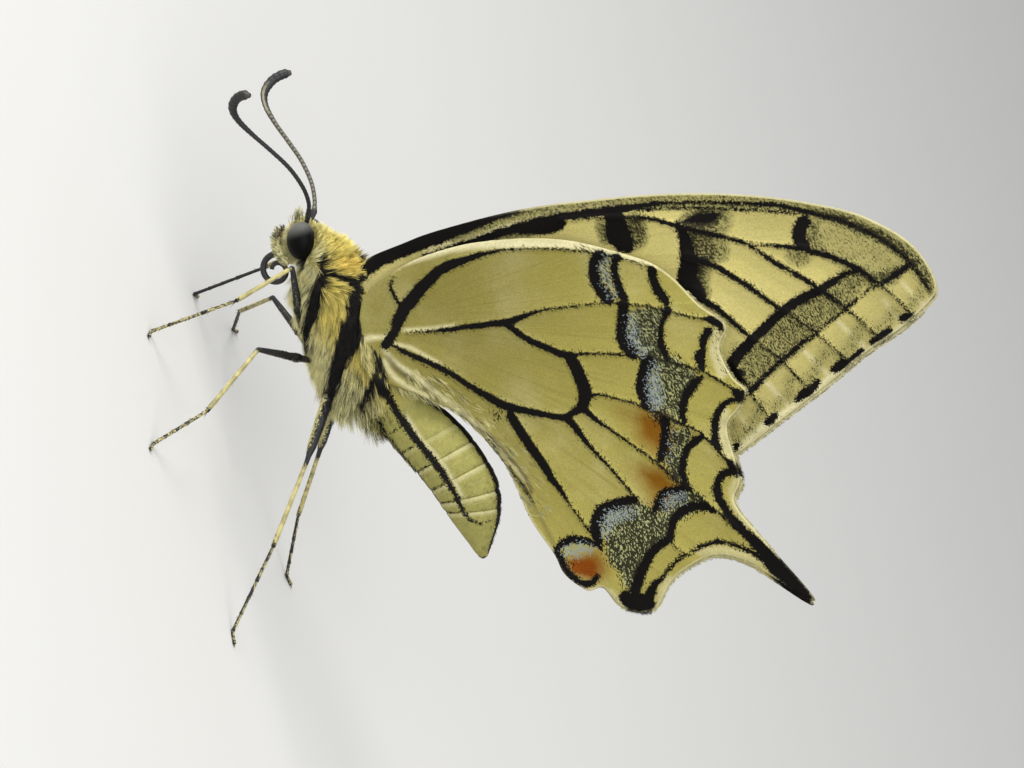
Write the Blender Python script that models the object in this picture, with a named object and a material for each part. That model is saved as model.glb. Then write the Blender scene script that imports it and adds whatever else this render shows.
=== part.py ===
"""A swallowtail butterfly standing on a level floor with its wings closed, life size.

The head points along -X, the animal's left side faces -Y, and +Z is up. The floor is z = 0, under
the middle of the whole figure. Sizes below are in millimetres and angles in degrees; the meshes
are in metres. Each named part of the animal is one closed solid, parted from its neighbours by GAP.
"""
import math

import bmesh
import bpy
from mathutils import Matrix, Vector

MM = 0.001
GAP = 0.3                 # clearance between neighbouring solids
SHEET = 0.5               # thickness of a wing
LEFT = -1
RIGHT = 1

# The trunk lies on an axis that starts at the neck and climbs towards the tail.
NECK_X = -10.05
NECK_Z = 11.0
TRUNK_PITCH = 13.5

# Ribs of the trunk, as distances along and above that axis:
# (top along, top height, bottom along, bottom height, half width).
THORAX_RIBS = (
    (-1.25, 0.95, 0.55, -0.60, 0.90),
    (-1.15, 1.40, 0.90, -1.35, 1.65),
    (-0.20, 1.85, 1.90, -2.10, 2.10),
    (1.20, 2.30, 3.20, -2.90, 2.40),
    (2.70, 2.75, 4.60, -3.60, 2.50),
    (4.40, 3.10, 6.10, -4.10, 2.50),
    (6.30, 3.30, 7.70, -4.25, 2.50),
    (8.30, 3.20, 9.20, -4.20, 2.45),
    (10.00, 2.90, 10.60, -3.85, 2.25),
    (11.60, 2.50, 12.00, -2.90, 1.85),
    (12.90, 2.20, 13.00, -2.30, 1.55),
)
ABDOMEN_RIBS = (
    (13.20, 2.25, 13.30, -2.20, 1.55),
    (14.50, 2.75, 15.20, -1.85, 1.90),
    (16.40, 3.25, 17.10, -1.40, 2.10),
    (18.40, 3.45, 18.90, -1.15, 2.10),
    (20.00, 3.40, 20.30, -1.05, 1.90),
    (21.40, 2.95, 21.70, -0.90, 1.60),
    (22.60, 2.15, 22.80, -0.75, 1.25),
    (23.60, 1.05, 23.80, -0.65, 0.80),
    (24.40, 0.15, 24.50, -0.45, 0.30),
)
ABDOMEN_JOINTS = (("abdomen_base", 0.0, 2.4), ("abdomen_middle", 2.4, 4.3), ("abdomen_tip", 4.3, 8.0))
RING_STEPS = 2            # rings between one rib and the next
RIB_DIVISIONS = 8         # places between two ribs at which a length of the abdomen may end
TRUNK_SIDES = 16

# The head hangs with its face to the floor, so its crown-to-throat line is almost level.
HEAD_AT = (-11.10, 0.0, 10.65)
HEAD_PITCH = -20.5
HEAD_SEMI = (1.50, 1.80, 1.15)          # crown to throat, side to side, face to nape
EYE_AT = (-10.90, 1.40, 10.80)
EYE_SEMI = (1.28, 0.95, 0.93)
BALL_SEGMENTS = 14
BALL_RINGS = 9
PALP_POINTS = ((-9.55, 0.90, 9.30), (-10.40, 0.95, 8.95), (-11.30, 0.85, 8.95), (-12.10, 0.70, 9.35))
PALP_RADII = (0.26, 0.34, 0.34, 0.20)
SLIM_SIDES = 6            # facets round a palp, a feeler and the proboscis

# The proboscis is rolled up like a watch spring under the face.
COIL_AT = (-9.40, 8.20)
COIL_OUTER = 1.22
COIL_INNER = 0.35
COIL_TURNS = 1.35
COIL_START = 118.0
COIL_STEPS = 22
COIL_RADII = (0.27, 0.22)

# Course of a feeler from its root to its tip: (x, distance from the middle plane, z).
FEELER_POINTS = (
    (-12.55, 0.80, 11.75),
    (-13.35, 1.50, 12.15),
    (-14.50, 2.50, 12.30),
    (-16.00, 3.60, 12.05),
    (-17.50, 4.70, 11.45),
    (-18.90, 5.70, 10.80),
    (-20.10, 6.55, 10.35),
    (-20.95, 7.10, 10.35),
    (-21.50, 7.55, 10.85),
    (-21.65, 7.90, 11.50),
    (-21.50, 8.15, 12.05),
)
FEELER_RADIUS = 0.25
CLUB_RADIUS = 0.37
CLUB_FROM = 0.76          # the club takes up the rest of the feeler's length
CLUB_SWELLING = 0.62      # the part of the club over which it thickens
CLUB_TIP = 0.8            # the tip's radius as a share of the shaft's
FEELER_LEAN = {LEFT: (0.0, 0.0, 0.0), RIGHT: (-0.75, -0.85, 0.85)}    # tip forward, tip up, sag half way

# Courses of the legs: hip, knee, ankle and toe, as (x, distance from the middle plane, z).
LEG_COURSES = {
    ("leg_front", LEFT): ((-5.20, 1.30, 9.00), (-9.35, 3.45, 10.20), (-8.30, 5.40, 6.20), (-7.70, 7.40, 0)),
    ("leg_front", RIGHT): ((-5.20, 1.30, 9.00), (-10.20, 3.60, 9.70), (-9.70, 5.20, 6.10), (-9.00, 7.60, 0)),
    ("leg_middle", LEFT): ((-2.80, 1.20, 8.90), (-4.70, 6.10, 6.90), (-1.80, 10.60, 3.40), (-0.60, 15.00, 0)),
    ("leg_middle", RIGHT): ((-2.80, 1.20, 8.90), (-7.50, 5.50, 5.90), (-7.10, 9.90, 2.10), (-5.60, 15.00, 0)),
    ("leg_hind", LEFT): ((-0.40, 1.20, 9.70), (3.70, 4.10, 7.40), (8.60, 6.60, 4.00), (14.10, 9.20, 0)),
    ("leg_hind", RIGHT): ((-0.40, 1.20, 9.70), (3.90, 4.00, 6.20), (7.80, 6.20, 2.90), (12.60, 9.20, 0)),
}
FEMUR_RADIUS = {"leg_front": 0.30, "leg_middle": 0.30, "leg_hind": 0.38}
TIBIA_RADIUS = 0.26
TARSUS_RADIUS = 0.25
FOOT_LENGTH = 0.9         # the claws and pad that lie flat on the floor
FOOT_HEIGHT = 0.23        # height of the foot's middle line above its flat sole
LEG_SIDES = 8

# Each wing is given from its hinge, (x, z), by rays of (length, bearing). A bearing of 0 points
# along +X and 90 points up.
FORE_HINGE = (-7.5, 14.4)
FORE_COSTA = (
    (0.9, 165.0), (3.1, 113.0), (6.0, 103.5), (11.7, 95.9), (17.3, 91.2), (22.7, 88.0), (28.1, 84.9),
    (33.4, 81.6), (36.0, 79.4), (38.0, 77.1),
)
FORE_APEX = ((39.2, 74.6), (39.65, 72.7), (39.2, 71.3))
FORE_OUTER = ((37.4, 68.4), (35.2, 65.3), (33.1, 61.0), (31.0, 56.0), (28.7, 48.6), (26.9, 41.0))
FORE_INNER = ((25.4, 34.6), (24.4, 33.2), (13.4, 30.0), (5.0, 14.0), (2.0, -15.0), (1.0, -80.0))
HIND_HINGE = (-4.0, 14.5)
HIND_COSTA = (
    (1.3, -80.0), (1.6, -150.0), (2.1, -175.0), (3.1, 156.0), (5.3, 131.0), (9.0, 112.0), (14.0, 98.2),
    (18.8, 87.7), (20.6, 83.3),
)
HIND_SCALLOPS = (
    (22.4, 77.4), (24.2, 73.8), (23.8, 69.8), (24.9, 65.6), (26.0, 63.8), (25.7, 61.0), (25.2, 57.6),
    (26.5, 53.2), (27.3, 50.6), (27.5, 47.6), (29.5, 45.6),
)
HIND_TAIL = ((31.4, 44.3), (35.3, 42.1), (35.2, 41.5), (32.4, 41.4), (30.2, 41.3))
HIND_ANAL = (
    (28.2, 39.6), (27.2, 36.0), (26.9, 32.5), (27.4, 28.2), (26.9, 26.0), (25.6, 24.2), (23.9, 24.0),
    (23.4, 21.6), (21.6, 20.1), (20.0, 20.8),
)
HIND_INNER = ((17.1, 21.3), (12.9, 25.3), (8.6, 25.0), (6.0, 15.0), (3.4, -25.0))
OUTLINE_STEPS = 2         # chords between one ray and the next
FORE_TURN = {LEFT: 0.0, RIGHT: -0.5}    # the right wings hang a little lower than the left
HIND_TURN = {LEFT: 0.0, RIGHT: -1.4}

# The wings meet over the back and part again around the trunk.
FORE_LAYER = GAP / 2 + SHEET / 2
HIND_LAYER = FORE_LAYER + SHEET + GAP
ROOT_SPREAD = 1.55        # how far the wings stand apart at the trunk's axis
SPREAD_ENDS = 5.6         # height above the axis at which they have closed
WING_BOW = 0.35           # how far they belly out half way up
BOW_SPAN = 36.0
FOLD_HEIGHTS = (1.0, 2.2, 3.4, 4.5, 5.6, 9.0, 14.0, 20.0, 27.0, 34.0)

COLOURS = {
    "black": (0.010, 0.009, 0.008),
    "eye": (0.020, 0.020, 0.022),
    "cream": (0.560, 0.480, 0.190),
    "yellow": (0.600, 0.500, 0.130),
    "wing": (0.620, 0.530, 0.170),
    "leg": (0.090, 0.080, 0.060),
}
ROUGHNESS = {"eye": 0.15}
ORDINARY_ROUGHNESS = 0.6


def clear_scene():
    """Remove whatever the scene holds."""
    for item in list(bpy.data.objects):
        bpy.data.objects.remove(item, do_unlink=True)


def material(node, colour):
    """A plain material of the node's own."""
    finish = bpy.data.materials.new(node)
    finish.use_nodes = True
    shader = finish.node_tree.nodes["Principled BSDF"]
    shader.inputs["Base Color"].default_value = (*COLOURS[colour], 1.0)
    shader.inputs["Roughness"].default_value = ROUGHNESS.get(colour, ORDINARY_ROUGHNESS)
    shader.inputs["Metallic"].default_value = 0.0
    return finish


def add_node(node, bm, colour):
    """Turn a bmesh in metres into a named, smooth-shaded object."""
    bmesh.ops.recalc_face_normals(bm, faces=bm.faces)
    if bm.calc_volume(signed=True) < 0:
        bmesh.ops.reverse_faces(bm, faces=bm.faces)
    mesh = bpy.data.meshes.new(node)
    bm.to_mesh(mesh)
    bm.free()
    mesh.shade_smooth()
    mesh.set_sharp_from_angle(angle=math.radians(40))
    mesh.materials.append(material(node, colour))
    item = bpy.data.objects.new(node, mesh)
    bpy.context.scene.collection.objects.link(item)
    return item


def as_cutter(item):
    """Hide a clearance shape that only cuts other solids."""
    item.hide_render = True
    item.display_type = 'WIRE'
    return item


def cut(item, cutters):
    """Part a solid from its neighbours by their grown copies."""
    for cutter in cutters:
        boolean = item.modifiers.new(cutter.name, 'BOOLEAN')
        boolean.operation = 'DIFFERENCE'
        boolean.solver = 'EXACT'
        boolean.object = cutter


def smooth_curve(points, steps, closed=False):
    """Catmull-Rom points through the given ones, with steps chords between neighbours."""
    points = [Vector(point) for point in points]
    count = len(points)
    spans = count if closed else count - 1
    result = []
    for span in range(spans):
        if closed:
            before, start, end, after = (points[(span + shift) % count] for shift in (-1, 0, 1, 2))
        else:
            start = points[span]
            end = points[span + 1]
            before = points[span - 1] if span > 0 else start * 2 - end
            after = points[span + 2] if span + 2 < count else end * 2 - start
        for step in range(steps):
            t = step / steps
            pull = (end - before) * t + (before * 2 - start * 5 + end * 4 - after) * t ** 2
            swing = (start * 3 - before - end * 3 + after) * t ** 3
            result.append(start + (pull + swing) / 2)
    if not closed:
        result.append(points[-1])
    return result


def ring_matrix(centre, across, upward):
    """Matrix that lays the unit circle on an ellipse with the two given half axes."""
    along = across.cross(upward).normalized()
    frame = Matrix((across, upward, along)).transposed().to_4x4()
    frame.translation = centre
    return frame


def sweep(frames, sides):
    """Extrude a polygon from ring to ring, closed at both ends; frames are in millimetres."""
    bm = bmesh.new()
    scale = Matrix.Scale(MM, 4)
    half_side = Matrix.Rotation(math.pi / sides, 4, 'Z')
    bmesh.ops.create_circle(bm, cap_ends=True, segments=sides, radius=1.0,
                            matrix=scale @ frames[0] @ half_side)
    bm.faces.ensure_lookup_table()
    end = bm.faces[0]
    for previous, frame in zip(frames, frames[1:]):
        moved = bmesh.ops.extrude_face_region(bm, geom=[end, *end.edges, *end.verts])
        verts = [element for element in moved["geom"] if isinstance(element, bmesh.types.BMVert)]
        bmesh.ops.transform(bm, verts=verts, matrix=scale @ frame @ previous.inverted() @ scale.inverted())
        end = next(element for element in moved["geom"] if isinstance(element, bmesh.types.BMFace))
    return bm


def tube(points, radii, sides):
    """A round tube along points, level-sided so that a flat faces the floor."""
    frames = []
    last = len(points) - 1
    for index, (point, radius) in enumerate(zip(points, radii)):
        heading = (points[min(index + 1, last)] - points[max(index - 1, 0)]).normalized()
        across = heading.cross(Vector((0, 0, 1))).normalized()
        frames.append(ring_matrix(point, across * radius, across.cross(heading) * radius))
    return sweep(frames, sides)


def trunk_point(along, height):
    """Point of the middle plane at a place along and above the trunk's axis."""
    pitch = math.radians(TRUNK_PITCH)
    x = NECK_X + along * math.cos(pitch) - height * math.sin(pitch)
    z = NECK_Z + along * math.sin(pitch) + height * math.cos(pitch)
    return Vector((x, 0, z))


def trunk_height(x, z):
    """Height of a point of the middle plane above the trunk's axis."""
    pitch = math.radians(TRUNK_PITCH)
    return (z - NECK_Z) * math.cos(pitch) - (x - NECK_X) * math.sin(pitch)


def rib_frames(ribs):
    """Ring matrices of a run of ribs."""
    frames = []
    for top_along, top_height, low_along, low_height, half_width in ribs:
        top = trunk_point(top_along, top_height)
        low = trunk_point(low_along, low_height)
        frames.append(ring_matrix((top + low) / 2, Vector((0, half_width, 0)), (top - low) / 2))
    return frames


def ribs_between(ribs, first, last, margins):
    """Smoothed ribs from station first to station last, drawn in by the margins at the two ends."""
    smooth = smooth_curve(ribs, RIB_DIVISIONS)
    count = max(2, round((last - first) * RING_STEPS) + 1)
    stations = [first + (last - first) * step / (count - 1) for step in range(count)]
    picked = [smooth[round(station * RIB_DIVISIONS)].copy() for station in stations]
    for end, shift in ((0, margins[0]), (-1, -margins[1])):
        picked[end][0] += shift
        picked[end][2] += shift
    return picked


def make_thorax():
    """The thorax with its coat, from the collar to the waist."""
    frames = rib_frames(smooth_curve(THORAX_RIBS, RING_STEPS))
    return add_node("thorax", sweep(frames, TRUNK_SIDES), "yellow")


def make_abdomen():
    """The abdomen in three lengths."""
    end_station = len(ABDOMEN_RIBS) - 1
    for node, first, last in ABDOMEN_JOINTS:
        margins = (0.0 if first == 0 else GAP / 2, 0.0 if last == end_station else GAP / 2)
        ribs = ribs_between(ABDOMEN_RIBS, first, last, margins)
        add_node(node, sweep(rib_frames(ribs), TRUNK_SIDES), "cream")


def ball(node, centre, semi, colour, grow=0.0):
    """An ellipsoid turned with the head."""
    turn = Matrix.Rotation(-math.radians(HEAD_PITCH), 4, 'Y')
    size = Matrix.Diagonal([(half + grow) * MM for half in semi] + [1.0])
    bm = bmesh.new()
    place = Matrix.Translation(Vector(centre) * MM) @ turn @ size
    bmesh.ops.create_uvsphere(bm, u_segments=BALL_SEGMENTS, v_segments=BALL_RINGS, radius=1.0, matrix=place)
    return add_node(node, bm, colour)


def side_name(stem, side):
    """A node's name with its side."""
    return stem + ("_left" if side == LEFT else "_right")


def eye(side, grow=0.0, node="eye"):
    """A domed eye, set into the side of the head."""
    x, spread, z = EYE_AT
    return ball(side_name(node, side), (x, side * spread, z), EYE_SEMI, "eye", grow)


def palp(side, grow=0.0, node="palp"):
    """A short feeler that curves up along the face."""
    points = [Vector((x, side * spread, z)) for x, spread, z in PALP_POINTS]
    radii = [size.x + grow for size in smooth_curve([(radius, 0, 0) for radius in PALP_RADII], 2)]
    return add_node(side_name(node, side), tube(smooth_curve(points, 2), radii, SLIM_SIDES), "cream")


def proboscis():
    """A coil that winds inwards, thinning towards its tip."""
    frames = []
    for step in range(COIL_STEPS + 1):
        part = step / COIL_STEPS
        angle = math.radians(COIL_START + 360.0 * COIL_TURNS * part)
        reach = COIL_OUTER + (COIL_INNER - COIL_OUTER) * part
        outward = Vector((math.cos(angle), 0, math.sin(angle)))
        thick = COIL_RADII[0] + (COIL_RADII[1] - COIL_RADII[0]) * part
        centre = Vector((COIL_AT[0], 0, COIL_AT[1])) + outward * reach
        frames.append(ring_matrix(centre, Vector((0, thick, 0)), outward * thick))
    return add_node("proboscis", sweep(frames, SLIM_SIDES), "black")


def feeler(side, grow=0.0, node="antenna"):
    """A thin shaft that ends in a bent club."""
    forward, upward, sag = FEELER_LEAN[side]
    last = len(FEELER_POINTS) - 1
    leaning = []
    for index, (x, spread, z) in enumerate(FEELER_POINTS):
        lean = (index / last) ** 1.5
        droop = sag * math.sin(math.pi * index / last)
        leaning.append(Vector((x + forward * lean, side * spread, z + upward * lean - droop)))
    points = smooth_curve(leaning, 2)
    radii = []
    for index in range(len(points)):
        share = index / (len(points) - 1)
        swell = max(0.0, min(1.0, (share - CLUB_FROM) / (1 - CLUB_FROM) / CLUB_SWELLING))
        radii.append(FEELER_RADIUS + (CLUB_RADIUS - FEELER_RADIUS) * swell + grow)
    radii[-1] = FEELER_RADIUS * CLUB_TIP + grow
    return add_node(side_name(node, side), tube(points, radii, SLIM_SIDES), "black")


def leg_course(kind, side):
    """Middle line of a leg, ending in a foot that lies along the floor."""
    hip, knee, ankle, toe = (Vector((x, side * spread, z)) for x, spread, z in LEG_COURSES[kind, side])
    toe.z = FOOT_HEIGHT
    run = Vector((toe.x - ankle.x, toe.y - ankle.y, 0)).normalized()
    heel = toe - run * FOOT_LENGTH
    return hip, knee, ankle, heel, toe


def leg(kind, side, grow=0.0, node=None):
    """A leg of femur, tibia and tarsus, thickest in the femur."""
    hip, knee, ankle, heel, toe = leg_course(kind, side)
    femur = FEMUR_RADIUS[kind]
    stretches = (
        (hip, knee, (0.0, 0.35, 0.7, 0.93), (femur * 0.9, femur, femur, TIBIA_RADIUS)),
        (knee, ankle, (0.06, 0.5, 0.94), (TIBIA_RADIUS, TIBIA_RADIUS, TIBIA_RADIUS)),
        (ankle, heel, (0.06, 0.5, 0.95), (TARSUS_RADIUS, TARSUS_RADIUS, TARSUS_RADIUS)),
        (heel, toe, (0.1, 0.9, 1.0), (TARSUS_RADIUS, TARSUS_RADIUS, TARSUS_RADIUS * 0.8)),
    )
    points = []
    radii = []
    for start, end, shares, sizes in stretches:
        points += [start.lerp(end, share) for share in shares]
        radii += [size + grow for size in sizes]
    bm = tube(points, radii, LEG_SIDES)
    for vert in bm.verts:
        vert.co.z = max(0.0, vert.co.z)
    return add_node(side_name(node or kind, side), bm, "leg")


def wing_outline(hinge, turn, *runs):
    """Closed outline of a wing in the middle plane, through the ends of its turned rays."""
    ends = []
    for length, bearing in (ray for run in runs for ray in run):
        angle = math.radians(bearing + turn)
        ends.append((hinge[0] + length * math.cos(angle), 0, hinge[1] + length * math.sin(angle)))
    return smooth_curve(ends, OUTLINE_STEPS, closed=True)


def wing_spread(x, z):
    """Distance that a wing stands out from its layer, at a place of the middle plane."""
    height = trunk_height(x, z)
    closed = min(1.0, max(0.0, height / SPREAD_ENDS))
    at_root = ROOT_SPREAD * (1 - closed) ** 1.5 if height < SPREAD_ENDS else 0.0
    belly = min(1.0, max(0.0, (height - SPREAD_ENDS) / BOW_SPAN))
    return at_root + WING_BOW * math.sin(math.pi * belly)


def wing(stem, side, outline, layer, grow=0.0):
    """A sheet with the wing's outline, folded round the trunk."""
    half = SHEET / 2 + grow
    bm = bmesh.new()
    face = bm.faces.new([bm.verts.new((point.x * MM, -half * MM, point.z * MM)) for point in outline])
    sheet = bmesh.ops.extrude_face_region(bm, geom=[face])
    verts = [element for element in sheet["geom"] if isinstance(element, bmesh.types.BMVert)]
    bmesh.ops.translate(bm, verts=verts, vec=(0, 2 * half * MM, 0))
    bmesh.ops.triangulate(bm, faces=[one for one in bm.faces if len(one.verts) > 4])
    pitch = math.radians(TRUNK_PITCH)
    for height in FOLD_HEIGHTS:
        bmesh.ops.bisect_plane(bm, geom=list(bm.verts) + list(bm.edges) + list(bm.faces), dist=1e-7,
                               plane_co=trunk_point(0, height) * MM,
                               plane_no=(-math.sin(pitch), 0, math.cos(pitch)))
    for vert in bm.verts:
        out = layer + wing_spread(vert.co.x / MM, vert.co.z / MM)
        vert.co.y = side * (out * MM + vert.co.y)
    return add_node(side_name(stem, side), bm, "wing")


def forewing(side, grow=0.0, node="forewing"):
    """The front wing, the inner one when the wings are closed."""
    outline = wing_outline(FORE_HINGE, FORE_TURN[side], FORE_COSTA, FORE_APEX, FORE_OUTER, FORE_INNER)
    return wing(node, side, outline, FORE_LAYER, grow)


def hindwing(side, grow=0.0, node="hindwing"):
    """The tailed hind wing, outside the front one."""
    outline = wing_outline(HIND_HINGE, HIND_TURN[side],
                           HIND_COSTA, HIND_SCALLOPS, HIND_TAIL, HIND_ANAL, HIND_INNER)
    return wing(node, side, outline, HIND_LAYER, grow)


def head_ball(grow=0.0, node="head"):
    """The head's capsule with its short coat."""
    return ball(node, HEAD_AT, HEAD_SEMI, "cream", grow)


def main():
    """Build every part, then part the thorax and the head from what meets them."""
    clear_scene()
    thorax = make_thorax()
    make_abdomen()
    head = head_ball()
    proboscis()
    thorax_cutters = [as_cutter(head_ball(GAP, "clearance_head"))]
    head_cutters = []
    for side in (LEFT, RIGHT):
        eye(side)
        palp(side)
        feeler(side)
        forewing(side)
        hindwing(side)
        head_cutters.append(as_cutter(eye(side, GAP, "clearance_eye")))
        thorax_cutters.append(head_cutters[-1])
        head_cutters.append(as_cutter(feeler(side, GAP, "clearance_antenna")))
        head_cutters.append(as_cutter(palp(side, GAP, "clearance_palp")))
        thorax_cutters.append(as_cutter(forewing(side, GAP, "clearance_forewing")))
        thorax_cutters.append(as_cutter(hindwing(side, GAP, "clearance_hindwing")))
    for kind, side in LEG_COURSES:
        leg(kind, side)
        thorax_cutters.append(as_cutter(leg(kind, side, GAP, "clearance_" + kind)))
    cut(thorax, thorax_cutters)
    cut(head, head_cutters)


main()
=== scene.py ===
import math

import bmesh
import bpy
import numpy as np
from bpy.props import FloatProperty, FloatVectorProperty, IntProperty, PointerProperty
from mathutils import Matrix, Vector, kdtree, noise


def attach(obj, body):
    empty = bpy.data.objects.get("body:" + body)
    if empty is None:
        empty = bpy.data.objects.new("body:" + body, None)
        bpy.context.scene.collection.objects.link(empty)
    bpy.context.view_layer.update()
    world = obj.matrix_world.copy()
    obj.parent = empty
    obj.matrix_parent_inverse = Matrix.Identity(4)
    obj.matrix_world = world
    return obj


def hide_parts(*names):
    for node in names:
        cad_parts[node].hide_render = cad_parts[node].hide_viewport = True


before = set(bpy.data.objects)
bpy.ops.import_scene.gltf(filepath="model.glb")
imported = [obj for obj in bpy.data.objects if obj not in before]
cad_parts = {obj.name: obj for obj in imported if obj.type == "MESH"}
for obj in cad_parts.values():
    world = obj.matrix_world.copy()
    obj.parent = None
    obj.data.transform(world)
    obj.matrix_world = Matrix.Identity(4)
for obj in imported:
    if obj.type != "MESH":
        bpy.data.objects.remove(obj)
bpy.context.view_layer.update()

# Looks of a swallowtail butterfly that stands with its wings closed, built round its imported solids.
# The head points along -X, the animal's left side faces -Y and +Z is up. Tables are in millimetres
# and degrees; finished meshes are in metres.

bl_info = {
    "name": "Swallowtail butterfly",
    "version": (1, 0, 0),
    "blender": (4, 5, 0),
    "location": "View3D > Sidebar > Butterfly",
    "description": "Builds the scales, hair and colours of a life-size butterfly",
    "category": "Object",
}

MM = 0.001
LEFT = -1
RIGHT = 1
SIDES = {LEFT: "left", RIGHT: "right"}

# Trunk axis and ribs, as in the solids: (top along, top height, low along, low height, half width).
NECK_X = -10.05
NECK_Z = 11.0
TRUNK_PITCH = math.radians(13.5)
TRUNK_RIBS = (
    (-1.25, 0.95, 0.55, -0.60, 0.90), (-1.15, 1.40, 0.90, -1.35, 1.65), (-0.20, 1.85, 1.90, -2.10, 2.10),
    (1.20, 2.30, 3.20, -2.90, 2.40), (2.70, 2.75, 4.60, -3.60, 2.50), (4.40, 3.10, 6.10, -4.10, 2.50),
    (6.30, 3.30, 7.70, -4.25, 2.50), (8.30, 3.20, 9.20, -4.20, 2.45), (10.00, 2.90, 10.60, -3.85, 2.25),
    (11.60, 2.50, 12.00, -2.90, 1.85), (13.10, 2.22, 13.20, -2.25, 1.55), (14.50, 2.75, 15.20, -1.85, 1.90),
    (16.40, 3.25, 17.10, -1.40, 2.10), (18.40, 3.45, 18.90, -1.15, 2.10), (20.00, 3.40, 20.30, -1.05, 1.90),
    (21.40, 2.95, 21.70, -0.90, 1.60), (22.60, 2.15, 22.80, -0.75, 1.25), (23.60, 1.05, 23.80, -0.65, 0.80),
    (24.40, 0.15, 24.50, -0.45, 0.30),
)
THORAX_END = 12.0         # the coat thins out behind this place of the trunk
TRUNK_LENGTH = 24.5
THORAX_COAT = 0.42        # depth of the hair over the thorax
ABDOMEN_COAT = 0.06
HEAD_COAT = 0.28
RIB_STEPS = 4
TRUNK_SIDES = 40
SKIN_VOXEL = 0.11

HEAD_AT = (-11.10, 0.0, 10.65)
HEAD_PITCH = -20.5
HEAD_SEMI = (1.50, 1.80, 1.15)
EYE_AT = (-10.90, 1.40, 10.80)
EYE_SEMI = (1.28, 0.95, 0.93)
PALP_POINTS = ((-9.55, 0.90, 9.30), (-10.40, 0.95, 8.95), (-11.30, 0.85, 8.95), (-12.10, 0.70, 9.35))
PALP_RADII = (0.18, 0.23, 0.22, 0.12)
COIL_AT = (-9.40, 8.20)
COIL_REACH = (1.22, 0.35)
COIL_TURNS = 1.35
COIL_START = 118.0
COIL_RADII = (0.24, 0.16)
COIL_STEPS = 150
COIL_RINGS = 46
FEELER_POINTS = (
    (-12.55, 0.80, 11.75), (-13.35, 1.50, 12.15), (-14.50, 2.50, 12.30), (-16.00, 3.60, 12.05),
    (-17.50, 4.70, 11.45), (-18.90, 5.70, 10.80), (-20.10, 6.55, 10.35), (-20.95, 7.10, 10.35),
    (-21.50, 7.55, 10.85), (-21.65, 7.90, 11.50), (-21.50, 8.15, 12.05),
)
FEELER_ROOT = (-11.75, 0.50, 11.20)    # sunk in the head, under the hair
FEELER_ROOT_RADII = (0.14, 0.17)
FEELER_RADII = ((0.0, 0.22), (0.04, 0.15), (0.60, 0.155), (0.76, 0.21), (0.86, 0.33), (0.97, 0.34),
                (1.0, 0.16))
FEELER_RINGS = 36
FEELER_LEAN = {LEFT: (0.0, 0.0, 0.0), RIGHT: (-0.75, -0.85, 0.85)}

LEG_COURSES = {
    ("leg_front", LEFT): ((-5.20, 1.30, 9.00), (-9.35, 3.45, 10.20), (-8.30, 5.40, 6.20), (-7.70, 7.40, 0)),
    ("leg_front", RIGHT): ((-5.20, 1.30, 9.00), (-10.20, 3.60, 9.70), (-9.70, 5.20, 6.10), (-9.00, 7.60, 0)),
    ("leg_middle", LEFT): ((-2.80, 1.20, 8.90), (-4.70, 6.10, 6.90), (-1.80, 10.60, 3.40), (-0.60, 15.00, 0)),
    ("leg_middle", RIGHT): ((-2.80, 1.20, 8.90), (-7.50, 5.50, 5.90), (-7.10, 9.90, 2.10), (-5.60, 15.00, 0)),
    ("leg_hind", LEFT): ((-0.40, 1.20, 9.70), (3.70, 4.10, 7.40), (8.60, 6.60, 4.00), (14.10, 9.20, 0)),
    ("leg_hind", RIGHT): ((-0.40, 1.20, 9.70), (3.90, 4.00, 6.20), (7.80, 6.20, 2.90), (12.60, 9.20, 0)),
}
FEMUR_RADIUS = {"leg_front": 0.25, "leg_middle": 0.25, "leg_hind": 0.36}
TIBIA_RADIUS = 0.15
TARSUS_RADIUS = 0.12
FOOT_LENGTH = 0.9
TARSUS_SPLITS = (0.0, 0.42, 0.62, 0.80, 1.0)
CLAW_RADIUS = 0.05
SHIN_SPINES = 9
FOOT_SPINES = 14
SPINE_RADIUS = 0.022
SPINE_TURN = 2.4          # turn from one spine to the next, in radians

# Wings: the hinge in (x, z), then rays of (length, bearing) to the outline, as in the solids.
FORE_HINGE = (-7.5, 14.4)
FORE_OUTLINE = (
    (0.9, 165.0), (3.1, 113.0), (6.0, 103.5), (11.7, 95.9), (17.3, 91.2), (22.7, 88.0), (28.1, 84.9),
    (33.4, 81.6), (36.0, 79.4), (38.0, 77.1), (39.2, 74.6), (39.65, 72.7), (39.2, 71.3), (37.4, 68.4),
    (35.2, 65.3), (33.1, 61.0), (31.0, 56.0), (28.7, 48.6), (26.9, 41.0), (25.4, 34.6), (24.4, 33.2),
    (13.4, 30.0), (5.0, 14.0), (2.0, -15.0), (1.0, -80.0),
)
HIND_HINGE = (-4.0, 14.5)
HIND_OUTLINE = (
    (1.3, -80.0), (1.6, -150.0), (2.1, -175.0), (3.1, 156.0), (5.3, 131.0), (9.0, 112.0), (14.0, 98.2),
    (18.8, 87.7), (20.6, 83.3), (22.4, 77.4), (24.2, 73.8), (23.8, 69.8), (24.9, 65.6), (26.0, 63.8),
    (25.7, 61.0), (25.2, 57.6), (26.5, 53.2), (27.3, 50.6), (27.5, 47.6), (29.5, 45.6), (31.4, 44.3),
    (35.3, 42.1), (35.2, 41.5), (32.4, 41.4), (30.2, 41.3), (28.2, 39.6), (27.2, 36.0), (26.9, 32.5),
    (27.4, 28.2), (26.9, 26.0), (25.6, 24.2), (23.9, 24.0), (23.4, 21.6), (21.6, 20.1), (20.0, 20.8),
    (17.1, 21.3), (12.9, 25.3), (8.6, 25.0), (6.0, 15.0), (3.4, -25.0),
)
OUTLINE_STEPS = 6
FORE_TURN = {LEFT: 0.0, RIGHT: -0.5}
HIND_TURN = {LEFT: 0.0, RIGHT: -1.4}
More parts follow.
